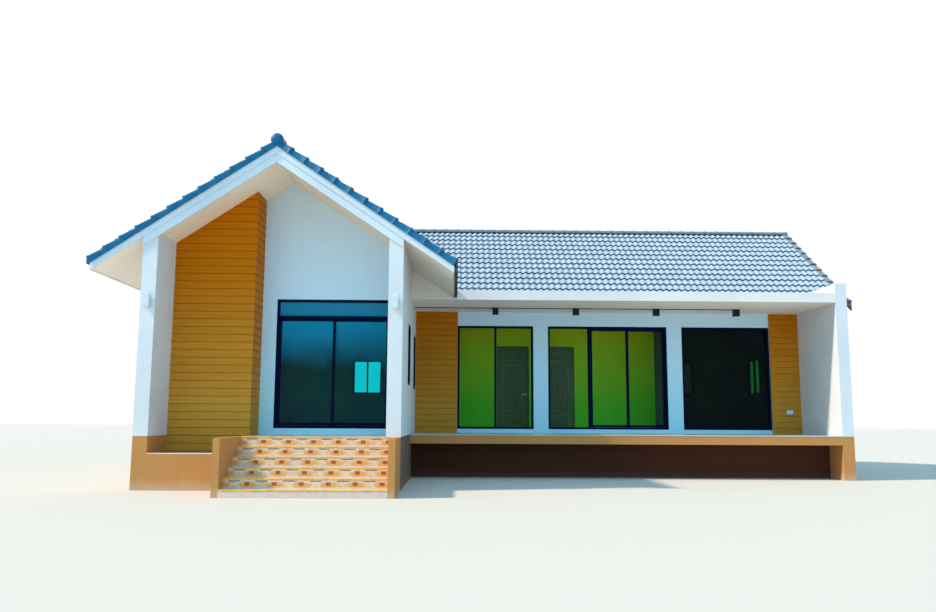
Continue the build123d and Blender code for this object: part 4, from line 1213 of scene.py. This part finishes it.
def door_leaf(node, a, b, doors):
    """An inner door's stiles and rails, and its three raised panels with mouldings on both faces."""
    sunk, raised, margin = 0.013, 0.006, 0.05
    proud, bead = 0.004, 0.014
    left, right = a[0] + doors.stile, b[0] - doors.stile
    height = b[2] - a[2]
    # The rails' lower and upper edges in turn, from the foot up
    levels = a[2] + np.array([0, 0.14, 0.46, 0.54, 1.80, 1.88, height - 0.13, height])
    bottoms, tops = levels[1:-1:2], levels[2::2]
    shape = Shape()
    for bottom, top in zip(bottoms, tops):
        for y0, y1 in ((a[1] - proud, a[1] + bead), (b[1] - bead, b[1] + proud)):
            shape.ring([left, y0, bottom], [right, y1, top], doors.moulding, 1, mark=1)
    shape.boxes([a, [right, a[1], a[2]]], [[left, b[1], b[2]], b])
    shape.boxes(points_of(left, a[1], levels[::2]), points_of(right, b[1], levels[1::2]))
    for bottom, top in zip(bottoms, tops):
        shape.boxes([left, a[1] + sunk, bottom], [right, b[1] - sunk, top])
        shape.boxes([left + margin, a[1] + raised, bottom + margin],
                    [right - margin, b[1] - raised, top - margin])
    shape.build(node + "_leaf", ["door", "moulding"], body=node, slot="inner_door_wood", replaces=[node],
                bevel=0.003)


def door_metal(node, a, b, pin_x, knuckle, run):
    """An inner door's middle knuckles and hinge plates, and a lever on both faces. run is 1 where the door
    reaches to the right of its pin."""
    plate, plate_bed, plate_proud = 0.033, 0.001, 0.003
    lever_inset, lever_length = 0.06, 0.12
    boss, grip, reach, bed = 0.012, 0.018, 0.045, 0.002
    own_hinge = 0.2
    shape = Shape()
    for hinge_low, hinge_high in islands("door_hinges"):
        if abs((hinge_low[0] + hinge_high[0]) / 2 - pin_x) < own_hinge:
            bottom, top = hinge_low[2], hinge_high[2]
            third = (top - bottom) / 3
            shape.tubes(upright(pin_x, b[1] + knuckle / 2, knuckle / 2, bottom + third, top - third, 16))
            ends = sorted((pin_x, pin_x + run * plate))
            shape.boxes([ends[0], b[1] - plate_bed, bottom], [ends[1], b[1] + plate_proud, top])
    lever_x = (b[0] if run > 0 else a[0]) - run * lever_inset
    lever_z = FLOOR_Z + 1.0
    ends = sorted((lever_x, lever_x - run * lever_length))
    outside, inside = a[1] - reach, b[1] + reach
    for y0, y1, y in ((outside, a[1] + bed, outside), (b[1] - bed, inside, inside - grip)):
        shape.boxes([lever_x - boss, y0, lever_z - boss], [lever_x + boss, y1, lever_z + boss])
        shape.boxes([ends[0], y, lever_z - grip / 2], [ends[1], y + grip, lever_z + grip / 2])
    shape.build(node + "_metal", ["steel"], body=node, slot="hinge_steel", bevel=0.002)


class BUNGALOW_OT_inner_doors(bpy.types.Operator):
    """Makes the two inner doors: stiles, rails, raised panels, a lever and the hinges' middle knuckles"""
    bl_idname = "bungalow.inner_doors"
    bl_label = "Inner doors"

    def execute(self, context):
        back = high("partition_panels")[1]
        # The left leaf is drawn in a little from its hinges
        for node, run, inset in (("inner_door_left", 1, 0.003), ("inner_door_right", -1, 0.0)):
            a, b = low(node).copy(), high(node).copy()
            knuckle = b[1] - back
            pin_x = (a[0] if run > 0 else b[0]) + run * knuckle / 2
            a[0] += inset
            b[1] = back
            door_leaf(node, a, b, context.scene.bungalow_doors)
            door_metal(node, a, b, pin_x, knuckle, run)
        return {"FINISHED"}


class BUNGALOW_OT_lamps(bpy.types.Operator):
    """Makes the terrace's square downlights, the two wall lamps and the socket box"""
    bl_idname = "bungalow.lamps"
    bl_label = "Lamps and socket"

    def execute(self, context):
        edge = 0.001
        body_foot, rim_top, rim_width = 0.004, 0.006, 0.02
        lens_foot, lens_top, lens_share = 0.002, 0.008, 0.55
        downlights = Shape()
        for a, b in islands("terrace_lamps"):
            x, y, _ = (a + b) / 2
            radius = (b[0] - a[0]) / 2 * lens_share
            downlights.boxes([a[0], a[1], a[2] + body_foot], b)
            downlights.ring([a[0] + edge, a[1] + edge, a[2]], [b[0] - edge, b[1] - edge, a[2] + rim_top],
                            rim_width, 2)
            downlights.tubes(upright(x, y, radius, a[2] + lens_foot, a[2] + lens_top, 24), mark=1)
        downlights.build("downlights", ["black", "lens"], slot="lamp_black", replaces=["terrace_lamps"],
                         bevel=0.003)
        cap, lens_inset, lens_back = 0.03, 0.012, 0.03
        mount, mount_bed, mount_inset = 0.02, 0.002, 0.05
        wall_lamps = Shape()
        for a, b in islands("wall_lamps"):
            wall_lamps.boxes([a[0], a[1], a[2] + cap], [b[0], b[1] - mount, b[2] - cap])
            lens_bottoms, lens_tops = [a[2], b[2] - cap], [a[2] + cap + edge, b[2]]
            wall_lamps.boxes(points_of(a[0] + lens_inset, a[1] + lens_inset, lens_bottoms),
                             points_of(b[0] - lens_inset, b[1] - lens_back, lens_tops), mark=1)
            wall_lamps.boxes([a[0] + mount, b[1] - mount - mount_bed, a[2] + mount_inset],
                             [b[0] - mount, b[1], b[2] - mount_inset])
        wall_lamps.build("wall_lamp_bodies", ["pale", "lens"], slot="lamp_white", replaces=["wall_lamps"],
                         bevel=0.004)
        a, b = BOX["socket_box"]
        flap_x, flap_z, flap_proud = 0.02, 0.018, 0.004
        socket = Shape()
        socket.boxes([a, [a[0] + flap_x, a[1] - flap_proud, a[2] + flap_z]],
                     [b, [b[0] - flap_x, a[1] + edge, b[2] - flap_z]])
        socket.build("socket_cover", ["white"], slot="white_plaster", replaces=["socket_box"], bevel=0.004)
        return {"FINISHED"}


# Stage
FLOOR_REACH = 150.0
FLOOR_COLOUR = (0.63, 0.56, 0.49)
SKY_COLOUR = (0.42, 0.76, 1.0)
SUN_COLOUR = (1.0, 0.88, 0.72)
FILL_COLOUR = (0.2, 0.6, 1.0)
SENSOR = 36.0


class BUNGALOW_OT_stage(bpy.types.Operator):
    """Sets the pale floor, the even sky, the key light and the camera"""
    bl_idname = "bungalow.stage"
    bl_label = "Stage"

    def execute(self, context):
        scene = context.scene
        self.add_floor(scene)
        self.add_sky(scene)
        self.add_lights(scene)
        self.add_camera(scene)
        scene.view_settings.view_transform = "Standard"
        return {"FINISHED"}

    def add_floor(self, scene):
        """The pale floor, a wide square."""
        mesh = bpy.data.meshes.new("floor")
        corners = [(x * FLOOR_REACH, y * FLOOR_REACH, 0) for x, y in ((-1, -1), (1, -1), (1, 1), (-1, 1))]
        mesh.from_pydata(corners, [], [(0, 1, 2, 3)])
        floor = bpy.data.objects.new("floor", mesh)
        scene.collection.objects.link(floor)
        finish = Graph("pale_floor").finish(Base_Color=FLOOR_COLOUR, Roughness=0.9, Specular_IOR_Level=0.1)
        mesh.materials.append(finish)

    def add_sky(self, scene):
        """Even blue light, which the camera, mirrors and glass see as white."""
        sky = Graph("even_sky", sky=True)
        light = sky.node("ShaderNodeBackground", None,
                         {"Color": SKY_COLOUR, "Strength": scene.bungalow_stage.sky})
        white = sky.node("ShaderNodeBackground", None, {"Color": (1, 1, 1), "Strength": 1.0})
        straight, mirrored, refracted = (sky.node("ShaderNodeLightPath", output=f"Is {ray} Ray")
                                         for ray in ("Camera", "Glossy", "Transmission"))
        seen = straight.most(mirrored).most(refracted)
        mix = sky.node("ShaderNodeMixShader", None, {0: seen, 1: light, 2: white})
        sky.feed(sky.output.inputs["Surface"], mix)
        scene.world = sky.owner

    def add_lights(self, scene):
        """The sun from high on the left, and a wide blue fill from the front."""
        settings = scene.bungalow_stage
        for name, energy, angle, tone, ray in (
                ("key", settings.sun, 3.0, SUN_COLOUR, (0.70, 0.17, -0.69)),
                ("fill", settings.fill, 150.0, FILL_COLOUR, (0.1, 0.9, -0.25))):
            lamp = bpy.data.lights.new(name, "SUN")
            lamp.energy = energy
            lamp.angle = math.radians(angle)
            lamp.color = tone
            light = bpy.data.objects.new(name, lamp)
            scene.collection.objects.link(light)
            light.rotation_mode = "QUATERNION"
            light.rotation_quaternion = Vector(ray).to_track_quat("-Z", "Y")

    def add_camera(self, scene):
        """The photograph's camera: yaw turns it about the upright, pitch lifts it, roll tilts its picture."""
        yaw, pitch, roll = CAMERA_TURN
        ahead = np.array([math.sin(yaw) * math.cos(pitch), math.cos(yaw) * math.cos(pitch), math.sin(pitch)])
        right = np.array([math.cos(yaw), -math.sin(yaw), 0])
        up = np.cross(right, ahead)
        side = math.cos(roll) * right + math.sin(roll) * up
        top = -math.sin(roll) * right + math.cos(roll) * up
        lens = bpy.data.cameras.new("camera")
        lens.sensor_width = SENSOR
        lens.lens = SENSOR * scene.bungalow_stage.focal
        lens.clip_end = 500.0
        camera = bpy.data.objects.new("camera", lens)
        scene.collection.objects.link(camera)
        turn = np.eye(4)
        turn[:3] = np.stack([side, top, -ahead, CAMERA_PLACE], axis=1)
        camera.matrix_world = Matrix(turn.tolist())
        scene.camera = camera


class BUNGALOW_PT_panel(bpy.types.Panel):
    """Lists the bungalow's settings and steps"""
    bl_idname = "BUNGALOW_PT_panel"
    bl_label = "Bungalow"
    bl_space_type = "VIEW_3D"
    bl_region_type = "UI"
    bl_category = "Bungalow"

    def draw(self, context):
        for name in SETTINGS:
            column = self.layout.column()
            group = getattr(context.scene, name)
            for key in group.bl_rna.properties.keys():
                if key not in ("rna_type", "name"):
                    column.prop(group, key)
        for step in STEPS:
            self.layout.operator(step.bl_idname)


SETTINGS = {
    "bungalow_roof": RoofSettings,
    "bungalow_boards": CladdingSettings,
    "bungalow_stair": StairSettings,
    "bungalow_doors": DoorSettings,
    "bungalow_paint": PaintSettings,
    "bungalow_glass": GlassSettings,
    "bungalow_stage": StageSettings,
}
STEPS = (
    BUNGALOW_OT_stage,
    BUNGALOW_OT_finishes,
    BUNGALOW_OT_tiles,
    BUNGALOW_OT_verges,
    BUNGALOW_OT_ridges,
    BUNGALOW_OT_boards,
    BUNGALOW_OT_stair,
    BUNGALOW_OT_terrace_floor,
    BUNGALOW_OT_leaves,
    BUNGALOW_OT_panes,
    BUNGALOW_OT_inner_doors,
    BUNGALOW_OT_lamps,
)
CLASSES = (*SETTINGS.values(), *STEPS, BUNGALOW_PT_panel)


def register():
    for item in CLASSES:
        bpy.utils.register_class(item)
    for name, group in SETTINGS.items():
        setattr(bpy.types.Scene, name, PointerProperty(type=group))


def unregister():
    for name in SETTINGS:
        delattr(bpy.types.Scene, name)
    for item in reversed(CLASSES):
        bpy.utils.unregister_class(item)


def main():
    register()
    for step in STEPS:
        group, name = step.bl_idname.split(".")
        getattr(getattr(bpy.ops, group), name)()


if __name__ == "__main__":
    main()
